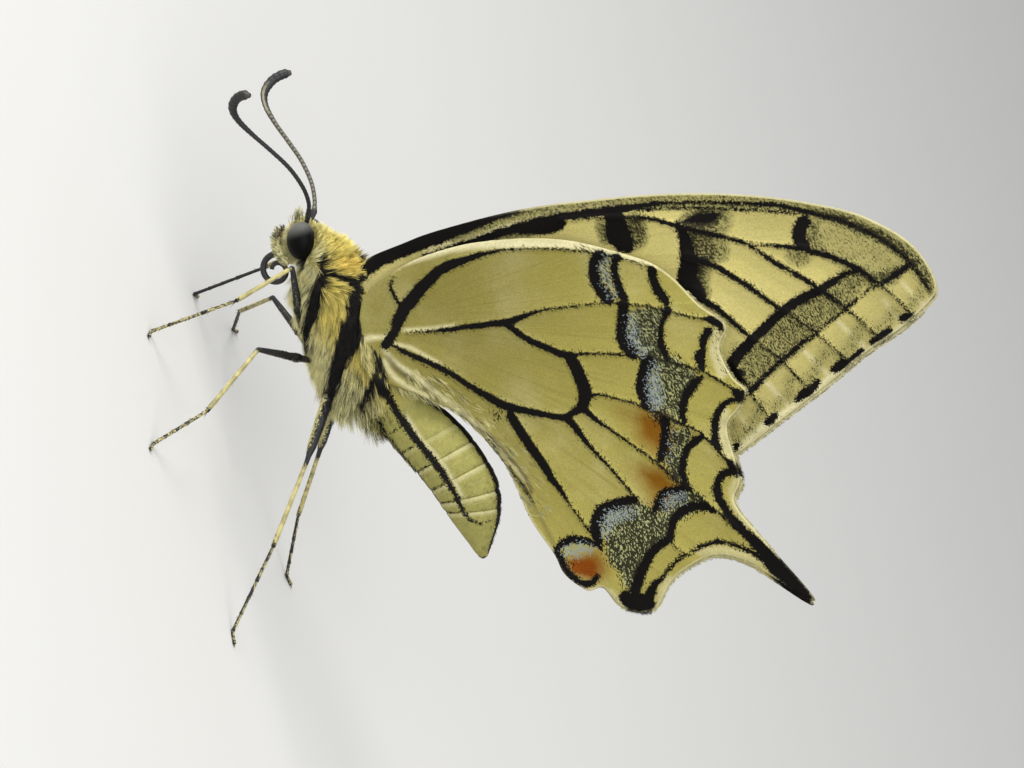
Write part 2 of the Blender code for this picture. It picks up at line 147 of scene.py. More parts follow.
FORE_LAYER = 0.40
HIND_LAYER = 1.20
ROOT_SPREAD = 1.55
SPREAD_ENDS = 5.6
WING_BOW = 0.35
BOW_SPAN = 36.0
CELL_SAG = 0.14           # how far the membrane dips between two veins
WING_WAVE = 0.05          # long, soft unevenness of a wing
# Folds of the outer edge: their depth, how far they reach inwards, and their width in degrees.
PLEATS = (0.16, 2.2, 1.8)
SHEET_FLOOR = 0.35        # thickness of the membrane as a share of a vein's
SAG_REACH = 0.8           # distance from a vein at which it has dipped
WAVE_SIZE = 7.0
RIDGE_WIDTH = 0.10        # how fast the wing thins beside a vein
RIDGE_LEVELS = 10         # steps of thickness from the membrane to the vein

# Strokes of the wings' pattern: runs of (length, bearing, half width) from the hinge. A soft
# stroke has its strength before its points.

FORE_VEINS = {
    "cell_top": ((14.2, 89.1, 0.08), (17, 87.1, 0.1), (19.7, 85.3, 0.12), (20.7, 84.4, 0.15), (22.3, 82.3,
        0.19), (25, 80, 0.18), (27.1, 78.2, 0.15)),
    "radius_4": ((27, 78.3, 0.1), (28.4, 78, 0.09), (30.4, 77.3, 0.21), (32.4, 76.2, 0.22), (33.4, 75.4,
        0.22), (34.3, 74.6, 0.22), (35.8, 72.9, 0.1), (36.9, 71.6, 0.06), (37.9, 70.1, 0.06)),
    "radius_5": ((27, 78.1, 0.15), (28.6, 75.6, 0.18), (30.7, 73.3, 0.19), (32.6, 71.1, 0.15), (34.4, 69,
        0.07), (36.5, 66.4, 0.07)),
    "media_1": ((22.6, 76.9, 0.28), (23.8, 75.9, 0.24), (24.8, 74.9, 0.22), (26.9, 72.1, 0.21), (29, 69.3,
        0.16), (29.9, 68.5, 0.09), (31.6, 66.8, 0.09), (33.9, 64.2, 0.06), (34.8, 63, 0.06)),
    "media_2": ((23.1, 71.1, 0.31), (23.8, 69.5, 0.24), (24.8, 68.4, 0.22), (27.3, 64.7, 0.16), (28.2,
        63.9, 0.08), (29.5, 62.7, 0.08), (32.3, 59.2, 0.06)),
    "media_3": ((26.5, 60.5, 0.1), (28.6, 56.2, 0.06), (30.3, 54.2, 0.06)),
}
FORE_BLACK = {
    "costa_base": ((0.4, -56, 0.31), (0.4, 135, 0.45), (1.4, 118, 0.52), (4.3, 103, 0.55), (5.8, 100,
        0.55), (10.3, 96.7, 0.24), (11.7, 95.4, 0.1)),
    "costa_line": ((4.2, 90, 0.1), (8.4, 89.8, 0.28), (9.9, 90.3, 0.33), (12.8, 90.2, 0.31), (14.3, 89.8,
        0.31), (18.5, 87.8, 0.31), (21.3, 87.1, 0.16), (24, 85.8, 0.12), (27.4, 84.1, 0.15), (29.4, 83.1,
        0.21), (33.2, 80.4, 0.15), (35.3, 78.5, 0.13), (36.3, 77.4, 0.12), (37.4, 76, 0.12), (38.1, 74.7,
        0.12), (39.2, 72.4, 0.1)),
    "costa_fine": ((19.8, 86.6, 0.08), (21.9, 85.8, 0.08), (23.9, 84.9, 0.1), (28, 82.9, 0.1), (30.3,
        81.8, 0.1)),
    "cell_base": ((10.7, 89.7, 0.17), (13, 87.4, 0.41), (13.8, 87.6, 0.41), (14.4, 88.2, 0.28)),
    "cell_bar": ((18, 86, 0.69), (18, 82.7, 0.9), (18.2, 80.9, 0.76), (18.5, 79.5, 0.41)),
    "cell_end": ((22.2, 82.8, 0.24), (22.5, 81, 0.41), (22.7, 76.7, 0.62), (22.7, 75, 0.69), (22.5, 73.4,
        0.69), (22.9, 71.5, 0.69), (23.6, 70, 0.38)),
    "band_in": ((34.4, 74.4, 0.15), (33.5, 74.1, 0.2), (32.1, 72.5, 0.31), (31.2, 71.5, 0.36), (30.4,
        70.7, 0.36), (29.6, 69.6, 0.36), (28.8, 68.1, 0.36), (27.6, 65.1, 0.38), (26.5, 61.6, 0.43),
        (26.3, 60.1, 0.43)),
    "band_foot": ((27, 59.5, 0.28), (26.7, 59, 0.48), (27.2, 58.5, 0.21)),
    "band_out": ((37.7, 74.8, 0.21), (37, 74, 0.24), (36.2, 73.2, 0.17), (35.3, 72.6, 0.1), (34.5, 71.4,
        0.09), (33.8, 70.4, 0.17), (32.4, 68.1, 0.09), (31.6, 66.5, 0.1), (30.8, 65.2, 0.17), (30.2, 63.8,
        0.21), (29.4, 61.9, 0.14), (28.7, 59.9, 0.17), (28.3, 58.2, 0.24), (27.9, 57, 0.21)),
    "subcosta_core": ((22.7, 83.1, 0.1), (23.7, 83.1, 0.34), (24.3, 83, 0.38), (24.7, 83.1, 0.28), (25.1,
        83.5, 0.1)),
    "lens_bar": ((30.8, 80.6, 0.48), (30.4, 79.5, 0.48), (30.4, 78.4, 0.48), (30.8, 77.4, 0.38)),
    "spot_1": ((37.5, 69.4, 0.31), (38, 69.7, 0.28)),
    "spot_2": ((35.5, 66.4, 0.21), (36, 67.1, 0.29), (36.6, 67.9, 0.24)),
    "spot_3": ((33.2, 62.6, 0.24), (33.7, 63.4, 0.41), (34.3, 64.1, 0.24), (34.9, 65.4, 0.21)),
    "spot_4": ((31.2, 57.9, 0.17), (31.5, 58.8, 0.33), (32, 59.7, 0.33), (32.3, 60.8, 0.21)),
    "spot_5": ((29.8, 54, 0.28), (30.1, 55.2, 0.24)),
    "spot_6": ((28.2, 48.7, 0.28), (28.4, 49.6, 0.21)),
}
FORE_DUST = {
    "costa_top": (0.92, ((8.8, 97.1, 0.48), (10.3, 96.2, 0.41), (14.5, 92.9, 0.21))),
    "costa": (0.8, ((6.7, 95, 0.28), (8.6, 94.6, 0.31), (10.2, 95.1, 0.31), (15.9, 91.3, 0.28), (18.6,
        89.6, 0.28), (21.4, 88.2, 0.24), (24.1, 86.7, 0.21), (27.4, 84.9, 0.21), (29.4, 83.8, 0.21),
        (30.8, 82.9, 0.24))),
    "costa_tip": (0.95, ((30.8, 82.9, 0.17), (33.2, 81.1, 0.31), (36.3, 78.2, 0.31), (37.4, 76.9, 0.31),
        (38.3, 75.5, 0.31), (39, 74.1, 0.28), (39.3, 72.8, 0.21))),
    "costa_black": (1, ((31, 82, 0.31), (33.2, 80.5, 0.48), (35.3, 78.6, 0.48), (36.3, 77.6, 0.45), (37.4,
        76.2, 0.45), (38.2, 74.9, 0.41), (38.8, 73.5, 0.38), (39.2, 72.4, 0.28))),
    "olive": (0.66, ((19.9, 87.7, 0.28), (25.3, 84.8, 0.28), (28.7, 83.2, 0.28))),
    "brown_base": (0.9, ((9.1, 89.4, 0.17), (11.9, 87.5, 0.28))),
    "cell_bar": (0.92, ((19.3, 84.2, 0.69), (19.3, 81.3, 0.62), (19, 80.2, 0.41))),
    "cell_bar_left": (0.9, ((17, 85.1, 0.41), (17, 82.3, 0.34))),
    "cell_end": (0.92, ((23.6, 80.3, 0.9), (23.9, 78.2, 1.03), (24, 76.6, 0.69))),
    "cell_end_faint": (0.6, ((24.6, 79.4, 0.76), (24.7, 77.5, 0.83))),
    "cell_end_low": (0.94, ((23.3, 74.6, 0.83), (23.3, 72.9, 0.69), (23.7, 71, 0.41))),
    "subcosta_spot": (0.98, ((22.5, 82.8, 0.28), (23.1, 82.9, 0.62), (23.9, 82.9, 0.86), (24.5, 82.7,
        0.83), (25.1, 83, 0.48))),
    "subcosta_halo": (0.66, ((23.8, 83.2, 1.03), (24.9, 82.5, 1.1))),
    "lens": (0.37, ((31.7, 78.7, 0.9), (32.8, 77.7, 1.24), (34.1, 76.4, 1.45), (35.5, 75.1, 1.24), (36.4,
        74.4, 0.9))),
    "lens_low": (0.85, ((34.2, 74.6, 0.41), (35.3, 73.4, 0.62), (36.4, 73.7, 0.62), (37, 74.6, 0.41))),
    "lens_left": (0.8, ((31.4, 80, 0.48), (31.3, 78.2, 0.55), (31.9, 76.9, 0.34))),
    "cell_spot": (0.55, ((29.9, 76.2, 0.55), (30.5, 76, 0.62))),
    "band": (0.72, ((34.6, 73.8, 0.48), (33.8, 72.8, 0.76), (32.8, 71.2, 1.03), (31.4, 69.3, 1.24), (29.6,
        65.2, 1.24), (27.9, 60.8, 1.1), (27.5, 58.3, 0.62))),
    "edge_1": (0.42, ((38.9, 72.9, 0.41), (37.8, 70.1, 0.41))),
    "edge_2": (0.4, ((36.8, 70, 0.48), (36.2, 68.5, 0.48), (35.2, 67.4, 0.34))),
    "edge_3": (0.44, ((34.7, 68.2, 0.48), (34.1, 65.7, 0.55), (33.4, 64.3, 0.41))),
    "edge_4": (0.44, ((32.5, 64.5, 0.48), (31.7, 60.5, 0.48))),
    "edge_5": (0.42, ((30.4, 60.2, 0.41), (30.7, 58.3, 0.41), (29.9, 56.2, 0.48))),
    "edge_6": (0.44, ((29, 55.9, 0.48), (28.8, 52.4, 0.48), (28.3, 50.2, 0.41), (27.7, 52, 0.34))),
    "inner": (0.3, ((26.2, 63.3, 0.41), (25.9, 61.6, 0.34))),
}
FORE_BLUE = {
    "cell": (0.5, ((21.9, 76.8, 0.17), (21.8, 75.4, 0.17))),
}
FORE_PALE = {
    "streak": (1, ((4.4, 93, 0.1), (5.5, 94, 0.14), (8.5, 92.2, 0.15), (10, 92.7, 0.17), (13, 91.9, 0.14),
        (15.8, 90.6, 0.1), (18.6, 88.9, 0.07))),
    "edge": (0.9, ((11.7, 95.4, 0.07), (14.6, 93.2, 0.08), (20.8, 89.4, 0.09), (24.2, 87.3, 0.09), (27.5,
        85.4, 0.09), (30.8, 83.4, 0.09), (33.4, 81.6, 0.09), (35.4, 79.9, 0.09), (37.3, 77.6, 0.09),
        (38.6, 75.2, 0.09), (39.4, 72.7, 0.09))),
    "fringe": (1, ((39.4, 71.6, 0.14), (38.5, 70, 0.16), (37.5, 68.6, 0.16), (34.3, 63.5, 0.19), (33.1,
        61.8, 0.19), (32.3, 59.7, 0.19), (29.2, 52, 0.28), (28.6, 49.4, 0.24))),
    # The pleat strokes are painted highlights: the lit ridges of the folds at the outer edge.
    "pleat_highlight_1": (0.7, ((37.4, 73, 0.1), (38.2, 71.6, 0.1), (38.9, 70.9, 0.14))),
    "pleat_highlight_2": (0.6, ((36.1, 71.2, 0.1), (36.9, 69.7, 0.1), (37.6, 68.8, 0.1))),
    "pleat_highlight_3": (0.7, ((33.1, 68.3, 0.14), (35.3, 65.5, 0.14))),
    "pleat_highlight_4": (0.7, ((30.9, 64.3, 0.14), (33.1, 61.7, 0.14))),
    "pleat_highlight_5": (0.7, ((28.9, 59.1, 0.14), (30.9, 56.7, 0.14))),
    "pleat_highlight_6": (0.6, ((27.6, 53.9, 0.1), (28.8, 52.1, 0.1))),
}
HIND_VEINS = {
    "subcosta": ((1.6, 5, 0.34), (1.3, 51, 0.28), (1.4, 81, 0.41), (2, 102, 0.45), (3.6, 112, 0.45), (5.6,
        114, 0.36), (6.4, 112.2, 0.33), (8.6, 107.2, 0.17), (9.9, 104.3, 0.09), (11.2, 101.2, 0.07),
        (13.1, 97, 0.07), (15, 93.4, 0.07), (17.6, 88.9, 0.06), (19.8, 84.9, 0.06)),
    "spur": ((1.9, 117, 0.11), (2.5, 144, 0.12), (2.9, 146, 0.09), (3.4, 145, 0.03)),
    "radius": ((2.1, 55, 0.04), (3.6, 64, 0.07), (4.9, 68, 0.16), (6, 71, 0.18), (9.2, 74.4, 0.26), (11,
        77.9, 0.12), (11.7, 78.5, 0.1), (15.6, 79.1, 0.06), (16.8, 78.7, 0.06), (19, 77.5, 0.06), (20.5,
        76.1, 0.06), (22.9, 74.7, 0.08)),
    "cell_top": ((8.9, 73.8, 0.24), (9.9, 69.4, 0.22), (10.6, 67.5, 0.21), (12.8, 64.6, 0.24), (13.5,
        64.3, 0.28)),
    "media_1": ((13.7, 64.4, 0.17), (14.2, 65.3, 0.12), (14.9, 65.9, 0.08), (16.3, 66.6, 0.08), (17.7,
        66.9, 0.08), (18.8, 66.6, 0.08), (19.8, 66.7, 0.07), (21.9, 66.2, 0.08), (23, 65.7, 0.08), (25.3,
        63.6, 0.1)),
    "cell_end": ((13.6, 64, 0.41), (14.1, 61.5, 0.43), (15, 56.9, 0.47), (15.2, 55.2, 0.47), (15.3, 53.1,
        0.41), (15.2, 51, 0.31), (14.8, 49, 0.22), (14.4, 47.1, 0.21)),
    "median": ((1.8, 15, 0.1), (2.1, 21, 0.1), (2.7, 26, 0.17), (5.6, 38, 0.19), (7.7, 38.8, 0.21), (10,
        40.2, 0.29), (10.8, 41.1, 0.29), (13.5, 45.7, 0.21), (14.6, 47.3, 0.24)),
    "cubital_2": ((10.9, 40.5, 0.24), (11.2, 38.8, 0.33), (12.6, 36.1, 0.36), (15.4, 32.8, 0.31), (15.9,
        32.1, 0.28), (17.1, 31.3, 0.17), (18.3, 30.3, 0.07), (20.5, 29.2, 0.08)),
    "cubital_1": ((14.6, 47.5, 0.28), (15.7, 45.8, 0.24), (16.9, 43.8, 0.14), (18.6, 42.4, 0.1), (21.5,
        40, 0.08)),
    "media_3": ((15.6, 51.3, 0.24), (16.7, 50, 0.14), (17.8, 49.5, 0.1), (21, 47.9, 0.08), (23.6, 46.4,
        0.08), (27.2, 45.1, 0.08), (28.4, 44.4, 0.1)),
    "media_2": ((15.7, 55.5, 0.17), (16.2, 56.4, 0.08), (18.3, 56.8, 0.08), (20.5, 56.5, 0.08), (22.4,
        55.8, 0.08), (23.5, 55.7, 0.08), (25.7, 53.1, 0.1), (26.4, 52.5, 0.17)),
    "anal_vein": ((26.4, 37.1, 0.05), (25.7, 37.1, 0.04), (25.1, 37.3, 0.04)),
}
HIND_BLACK = {
    "costal_spot_in": ((16.3, 90.7, 0.38), (15.7, 89.5, 0.38), (15.5, 87.1, 0.41), (15.5, 84.2, 0.41),
        (15.8, 81.8, 0.45), (16.2, 79.9, 0.41)),
    "costal_spot_out": ((17.4, 89.2, 0.28), (17, 87.6, 0.28), (16.9, 85.3, 0.28), (17.1, 80.7, 0.34),
        (17.3, 79.3, 0.28)),
    "costal_bar": ((19.5, 84.8, 0.33), (19.5, 82.6, 0.33), (19.7, 80.5, 0.38), (20.1, 78.8, 0.34), (20.3,
        77.8, 0.21)),
    "bar_1": ((17.2, 78.2, 0.41), (17, 71, 0.43), (17.4, 68.8, 0.45), (17.9, 67.4, 0.41)),
    "rim_1": ((20.3, 76.8, 0.31), (20, 75.1, 0.19), (19.7, 73.3, 0.19), (19.7, 71.5, 0.22), (19.8, 69.7,
        0.28), (20, 68.4, 0.28), (20.3, 67.1, 0.21)),
    "lune_1": ((23, 72.7, 0.31), (22.7, 71.2, 0.31), (22.7, 69.6, 0.22), (22.5, 68.2, 0.4), (22.8, 66.5,
        0.28)),
    "end_1": ((22.7, 74.9, 0.1), (23.3, 74.6, 0.28), (23.7, 73.9, 0.33), (24, 73, 0.17)),
    "bar_2": ((19, 66.1, 0.48), (18.8, 62, 0.47), (18.9, 59.9, 0.47), (19.3, 58.3, 0.41), (19.4, 57.2,
        0.34)),
    "rim_2": ((22.8, 64.7, 0.17), (22.4, 63.5, 0.31), (22, 61.6, 0.31), (21.9, 59.4, 0.28), (22, 57.6,
        0.24), (22.3, 56.5, 0.21)),
    "end_2": ((25.3, 63.3, 0.31), (25.7, 62.9, 0.45), (25.9, 62.2, 0.31)),
    "lune_2": ((25.5, 62.3, 0.24), (25, 61.8, 0.21), (24.6, 60.9, 0.22), (24.4, 59.6, 0.26), (24.3, 58,
        0.26), (24.7, 55, 0.28), (25.2, 54, 0.21)),
    "bar_3": ((21, 55.4, 0.34), (21.3, 53.4, 0.31), (21.5, 51, 0.34), (21.7, 48.5, 0.28)),
    "rim_3": ((23.7, 54.8, 0.24), (23.4, 53.8, 0.31), (23.1, 52.2, 0.28), (23.1, 50.2, 0.24), (23.4, 48.1,
        0.24), (24, 46.6, 0.21)),
    "end_3": ((26.3, 52.6, 0.28), (26.7, 52.1, 0.38), (27, 51.5, 0.28)),
    "lune_3": ((26.8, 51.9, 0.31), (26.3, 51.3, 0.28), (26, 50.4, 0.29), (25.9, 49.2, 0.31), (26.1, 48,
        0.33), (26.5, 46.9, 0.31), (27.7, 45.5, 0.28), (29, 44.6, 0.31), (30.5, 43.8, 0.48)),
    "bar_4": ((23, 39.8, 0.21), (23, 41.3, 0.28), (22.9, 42.8, 0.31), (23.1, 43.8, 0.31), (24, 45.8,
        0.28), (24.5, 46.3, 0.17)),
    "rim_4": ((26.7, 45.1, 0.14), (25.9, 44.9, 0.28), (25.3, 44.2, 0.34), (24.8, 43.1, 0.34), (24.6, 41.8,
        0.34), (24.5, 40.4, 0.31), (24.7, 38.9, 0.28), (25, 37.7, 0.28)),
    "tail": ((30.3, 43.8, 0.34), (31, 43.5, 0.5), (32, 42.9, 0.69), (33, 42.4, 0.72), (33.9, 42, 0.62),
        (34.8, 41.8, 0.48), (35.4, 41.7, 0.28)),
    "inner_dark": ((11.1, 27.1, 0.05), (12.7, 25.5, 0.08), (15.3, 24.8, 0.1), (16.3, 24.1, 0.07)),
    "tail_line": ((26.8, 37.9, 0.12), (27, 39.3, 0.15), (27.5, 40.6, 0.16), (28, 41.5, 0.17), (28.6, 42.1,
        0.16), (30.1, 42.6, 0.17), (31.5, 42.7, 0.28)),
    "bar_5": ((21.4, 29.1, 0.31), (20.7, 30, 0.41), (20.3, 31.8, 0.47), (20.1, 33.5, 0.45), (20.3, 35.2,
        0.41), (21.1, 38.6, 0.34), (21.5, 39.5, 0.28)),
    "rim_5": ((25, 37.3, 0.24), (24.7, 35.8, 0.31), (24.6, 34.3, 0.34), (24.7, 32.5, 0.38), (24.9, 30.7,
        0.38), (25.5, 27.6, 0.41)),
    "end_5": ((25.5, 25.8, 0.52), (26.1, 26.1, 0.72), (26.7, 27.3, 0.69), (26.4, 28.9, 0.34), (26.2, 30.4,
        0.28), (26.3, 32, 0.15), (26.2, 33.5, 0.14), (26.4, 36.4, 0.14), (26.7, 37.4, 0.08)),
    "eye_top": ((20, 21.3, 0.24), (19.8, 22.4, 0.28), (19.8, 23.7, 0.28), (20, 25.4, 0.31), (20.8, 27.6,
        0.26), (21.4, 28.2, 0.21), (21.9, 28.4, 0.1)),
    "eye_low": ((20, 21.3, 0.31), (21.1, 20.6, 0.31), (21.8, 20.6, 0.31), (22.5, 21, 0.28), (23, 21.8,
        0.28), (23.2, 23, 0.24), (23.1, 24.5, 0.17)),
}
HIND_DUST = {
    "costal": (0.75, ((16.7, 89.5, 0.34), (16.2, 87.5, 0.34), (16.5, 80, 0.17))),
    "band_1": (0.78, ((18.7, 73.9, 1.14), (18.6, 71.7, 1.21), (18.7, 69.9, 1.14), (19.2, 67.9, 0.9))),
    "band_1_top": (0.78, ((18.1, 76.2, 0.38), (18.9, 76.4, 0.38), (19.8, 75.9, 0.38))),
    "band_2": (0.72, ((19.8, 65.9, 0.76), (20.7, 65.1, 1.03), (20.7, 62.8, 1.38), (20.7, 60.4, 1.45),
        (20.7, 58.1, 1.31), (21.1, 56.8, 0.83))),
    "band_2_out": (0.8, ((21.3, 64.6, 0.83), (22, 64.2, 0.62), (21.7, 62.2, 0.69))),
    "band_3": (0.85, ((22.7, 54.6, 0.41), (22.2, 52.8, 0.69), (22.3, 50.6, 0.69), (22.6, 48.6, 0.62),
        (23.3, 47.1, 0.48))),
    "band_4": (0.85, ((23.4, 40.2, 0.48), (23.8, 42.5, 0.62), (24.5, 44.8, 0.55), (25.4, 45.1, 0.41), (24,
        39.2, 0.55), (24.4, 37.5, 0.62))),
    "band_5": (0.82, ((21.2, 33.5, 0.83), (21.6, 35, 1.17), (22.5, 36, 1.52), (23.4, 36.5, 1.38), (22.9,
        33.1, 1.66), (23.2, 31, 1.38), (24.1, 29.8, 0.9), (24.8, 28.2, 0.62))),
    "eye": (0.45, ((20.5, 22.1, 0.34), (21.1, 21.5, 0.28), (21.7, 21.5, 0.28))),
    "margin": (0.35, ((23.8, 73, 0.21), (23.8, 71, 0.28), (24.1, 68.7, 0.28), (24.7, 66.9, 0.28))),
    "costa_specks": (0.3, ((14.8, 95.2, 0.17), (17.5, 90, 0.17))),
    "hook": (0.35, ((10.2, 38.6, 0.48), (10.3, 35.7, 0.41), (10.7, 34.9, 0.34))),
}
HIND_BLUE = {
    "costal": (0.5, ((16.6, 89.4, 0.14), (16.2, 87.6, 0.21), (16.2, 84.6, 0.24), (16.5, 80.5, 0.14))),
    "band_1": (0.75, ((17.7, 75.2, 0.21), (17.8, 71, 0.34), (18.1, 69.3, 0.28), (18.6, 68.1, 0.21))),
    "band_2": (0.95, ((19.5, 65.3, 0.21), (19.6, 61.7, 0.41), (20, 58.5, 0.41))),
    "band_3": (0.35, ((21.7, 54.2, 0.17), (22.2, 49.5, 0.14))),
    "band_4": (0.9, ((23.6, 41.5, 0.21), (23.5, 42.6, 0.31), (23.8, 43.5, 0.31), (24.2, 44.3, 0.21))),
    "band_5": (0.85, ((21.3, 31.1, 0.24), (20.9, 32.7, 0.38), (21, 34.4, 0.41), (21.5, 36.1, 0.38), (21.8,
        37.2, 0.24))),
    "eye": (1, ((20.4, 22.9, 0.24), (20.7, 24.3, 0.38), (20.9, 25.8, 0.31), (21.3, 26.7, 0.17))),
}
HIND_ORANGE = {
    "cell_3": (1, ((19.7, 54.3, 0.76), (20.5, 53, 1.24), (21.1, 51.6, 0.9))),
    "cell_3_faint": (0.45, ((18, 54.1, 0.41), (19.4, 53.8, 0.83))),
    "cell_4": (1, ((21.2, 44.7, 0.55), (22.2, 44.7, 1.03), (23, 44.5, 0.83), (22.9, 42.5, 0.69), (22.9,
        41.1, 0.31))),
    "cell_4_faint": (0.4, ((20.1, 44.1, 0.41), (21.2, 44.3, 0.69))),
    "eye": (1, ((22, 26.5, 0.34), (22.5, 26.4, 0.34), (23, 25.8, 0.28))),
}
HIND_RED = {
    "eye": (1, ((21.2, 22.4, 0.31), (21.7, 22.8, 0.69), (22.2, 24.2, 0.83), (22.7, 24.1, 0.52))),
}
HIND_PALE = {
    "costa": (1, ((3.6, 157, 0.28), (4.4, 144, 0.31), (7.2, 119.5, 0.31), (8.7, 112.3, 0.31), (10.2,
        106.4, 0.31), (13.3, 98.3, 0.28), (15.2, 94.7, 0.24), (17, 91.2, 0.21), (19.8, 85.7, 0.14))),
    "lune_1": (0.6, ((23.6, 72.3, 0.34), (23.5, 69.2, 0.34), (24.2, 66.1, 0.41))),
    "lune_2": (0.6, ((24.9, 59.9, 0.28), (24.9, 57.7, 0.28), (25.2, 55.5, 0.28), (26, 53.7, 0.28))),
    "lune_3": (0.5, ((27, 50.6, 0.21), (27, 48.9, 0.21), (27.7, 47.2, 0.28), (28.7, 46, 0.28), (30.9,
        44.6, 0.1))),
    "tail_low": (0.5, ((27.2, 38.7, 0.28), (28.3, 40.7, 0.28), (29.6, 41.7, 0.21), (31.1, 42.1, 0.14),
        (32.4, 42.1, 0.1))),
    "anal": (0.5, ((26.7, 32.4, 0.34), (27, 29.9, 0.28), (27.4, 28.4, 0.17))),
    # The fold and ridge strokes are painted highlights: the lit side of the inner fold and of the raised vein
    # roots.
    "fold_highlight": (0.9, ((1.9, -2, 0.1), (2.7, 5, 0.14), (3.4, 11, 0.17), (4.9, 20, 0.21), (6.7, 23.4, 0.17),
        (7.4, 25.4, 0.14), (10.1, 27.5, 0.12), (12.1, 27.4, 0.1), (14.8, 26.3, 0.07))),
    "fold_edge_highlight": (1, ((2.6, -6, 0.1), (3.4, -2, 0.12), (4, 2, 0.12), (5.1, 11, 0.1), (6.4, 19, 0.1))),
    "median_ridge_highlight": (0.85, ((1.7, 19, 0.07), (2.8, 36, 0.09), (5.1, 40, 0.06))),
    "radius_ridge_highlight": (0.9, ((1.8, 57, 0.08), (3.7, 67, 0.1), (5.3, 72, 0.06))),
    "root_ridge_highlight": (0.9, ((1.5, -56, 0.14), (1.1, -42, 0.17), (1.2, 20, 0.1))),
    "lobe": (0.5, ((23.5, 22, 0.17), (24.5, 24.6, 0.21), (25.5, 24.5, 0.17))),
}
HIND_BROWN = {
    # The fold strokes are painted shade in the crease of the inner fold.
    "fold_shade": (0.75, ((2.4, 1, 0.1), (3.5, 7, 0.16), (6.8, 22.3, 0.14))),
    "fold_low_shade": (0.8, ((8.3, 25, 0.1), (10.7, 25.5, 0.21), (15.6, 25, 0.14))),
    "inner_line": (1, ((10, 26.9, 0.1), (11, 27.8, 0.14), (14.1, 27.4, 0.1), (15, 26.7, 0.1), (15.7, 25.6,
        0.1))),
    "inner_edge": (0.5, ((15.3, 24.6, 0.14), (19.4, 22, 0.14))),
}

# How far each soft pattern fades out, and for each wing its hinge, outline, turn, layer and pattern.
SOFTNESS = {"dust": 0.7, "blue": 0.8, "orange": 1.4, "red": 0.7, "pale": 0.3, "brown": 0.3}
WINGS = {
    "forewing": (FORE_HINGE, FORE_OUTLINE, FORE_TURN, FORE_LAYER,
                 {"veins": FORE_VEINS, "black": FORE_BLACK, "dust": FORE_DUST, "blue": FORE_BLUE,
                  "pale": FORE_PALE}),
    "hindwing": (HIND_HINGE, HIND_OUTLINE, HIND_TURN, HIND_LAYER,
                 {"veins": HIND_VEINS, "black": HIND_BLACK, "dust": HIND_DUST, "blue": HIND_BLUE,
                  "orange": HIND_ORANGE, "red": HIND_RED, "pale": HIND_PALE, "brown": HIND_BROWN}),
}

# Strokes of the body's pattern: (along, height, half width) on the trunk's axis.
BODY_BLACK = {
    "neck": ((0.9, 0.8, 0.17), (1.7, 0.6, 0.28), (2.3, 0.1, 0.41), (3.0, -0.8, 0.48), (3.9, -1.7, 0.41),
             (4.7, -2.5, 0.34), (5.6, -3.2, 0.28)),
    "collar": ((2.0, 0.8, 0.24), (2.6, 1.2, 0.21), (3.2, 1.5, 0.24), (3.8, 1.8, 0.28), (4.3, 1.9, 0.24)),
    "shoulder": ((3.5, 2.0, 0.45), (4.5, 1.3, 0.50), (5.5, 0.8, 0.58), (6.2, 0.2, 0.80), (6.9, -0.5, 0.85),
                 (7.4, -1.3, 0.68), (8.1, -2.1, 0.55), (9.0, -3.1, 0.45), (9.4, -3.8, 0.34)),
    "waist": ((7.3, 0.5, 0.14), (7.7, 0.8, 0.19), (8.7, 1.0, 0.24), (9.5, 0.6, 0.36), (10.3, 0.1, 0.50),
              (11.1, -0.1, 0.42)),
    "side": ((11.1, 0.0, 0.34), (12.0, -0.1, 0.28), (12.9, -0.1, 0.28), (14.2, 0.05, 0.31),
             (16.2, 0.45, 0.27), (17.8, 0.7, 0.27), (19.5, 0.7, 0.22), (20.9, 0.5, 0.16),
             (21.6, 0.6, 0.13), (22.2, 1.0, 0.07), (22.4, 1.8, 0.04)),
    "tuft": ((9.9, -0.2, 0.25), (10.4, -0.9, 0.30), (10.9, -1.7, 0.26), (11.5, -2.3, 0.20)),
    "cheek": ((0.3, -0.6, 0.28), (0.9, -0.7, 0.18)),
    "belly": ((12.2, -1.6, 0.10), (13.5, -1.7, 0.16), (14.9, -1.5, 0.10), (16.6, -1.2, 0.09),
              (18.4, -1.0, 0.09), (20.2, -0.9, 0.08)),
}
BODY_GOLD = ((1.7, 1.7, 0.25), (2.3, 2.0, 0.36), (2.7, 2.4, 0.36), (2.2, 2.6, 0.34))
BACK_STRIPE = 0.64        # half width of the black stripe down the back
ABDOMEN_START = 12.6      # place along the trunk where the abdomen's marks begin
FLANK_FROM = 0.35         # the marks of the flanks stop this far from the middle
SEGMENT_JOINTS = ((13.7, 0.0), (15.3, 0.0), (16.95, 0.0), (18.6, 0.03), (20.05, 0.29), (21.05, 0.45))
JOINT_HEIGHT = 0.7        # the joints' places are given at this height
JOINT_GROOVE = 0.07
BELLY_EDGE = ((11.1, 12.9, 14.9, 17.0, 19.0, 20.9), (0.0, -0.1, 0.1, 0.6, 0.7, 0.55))

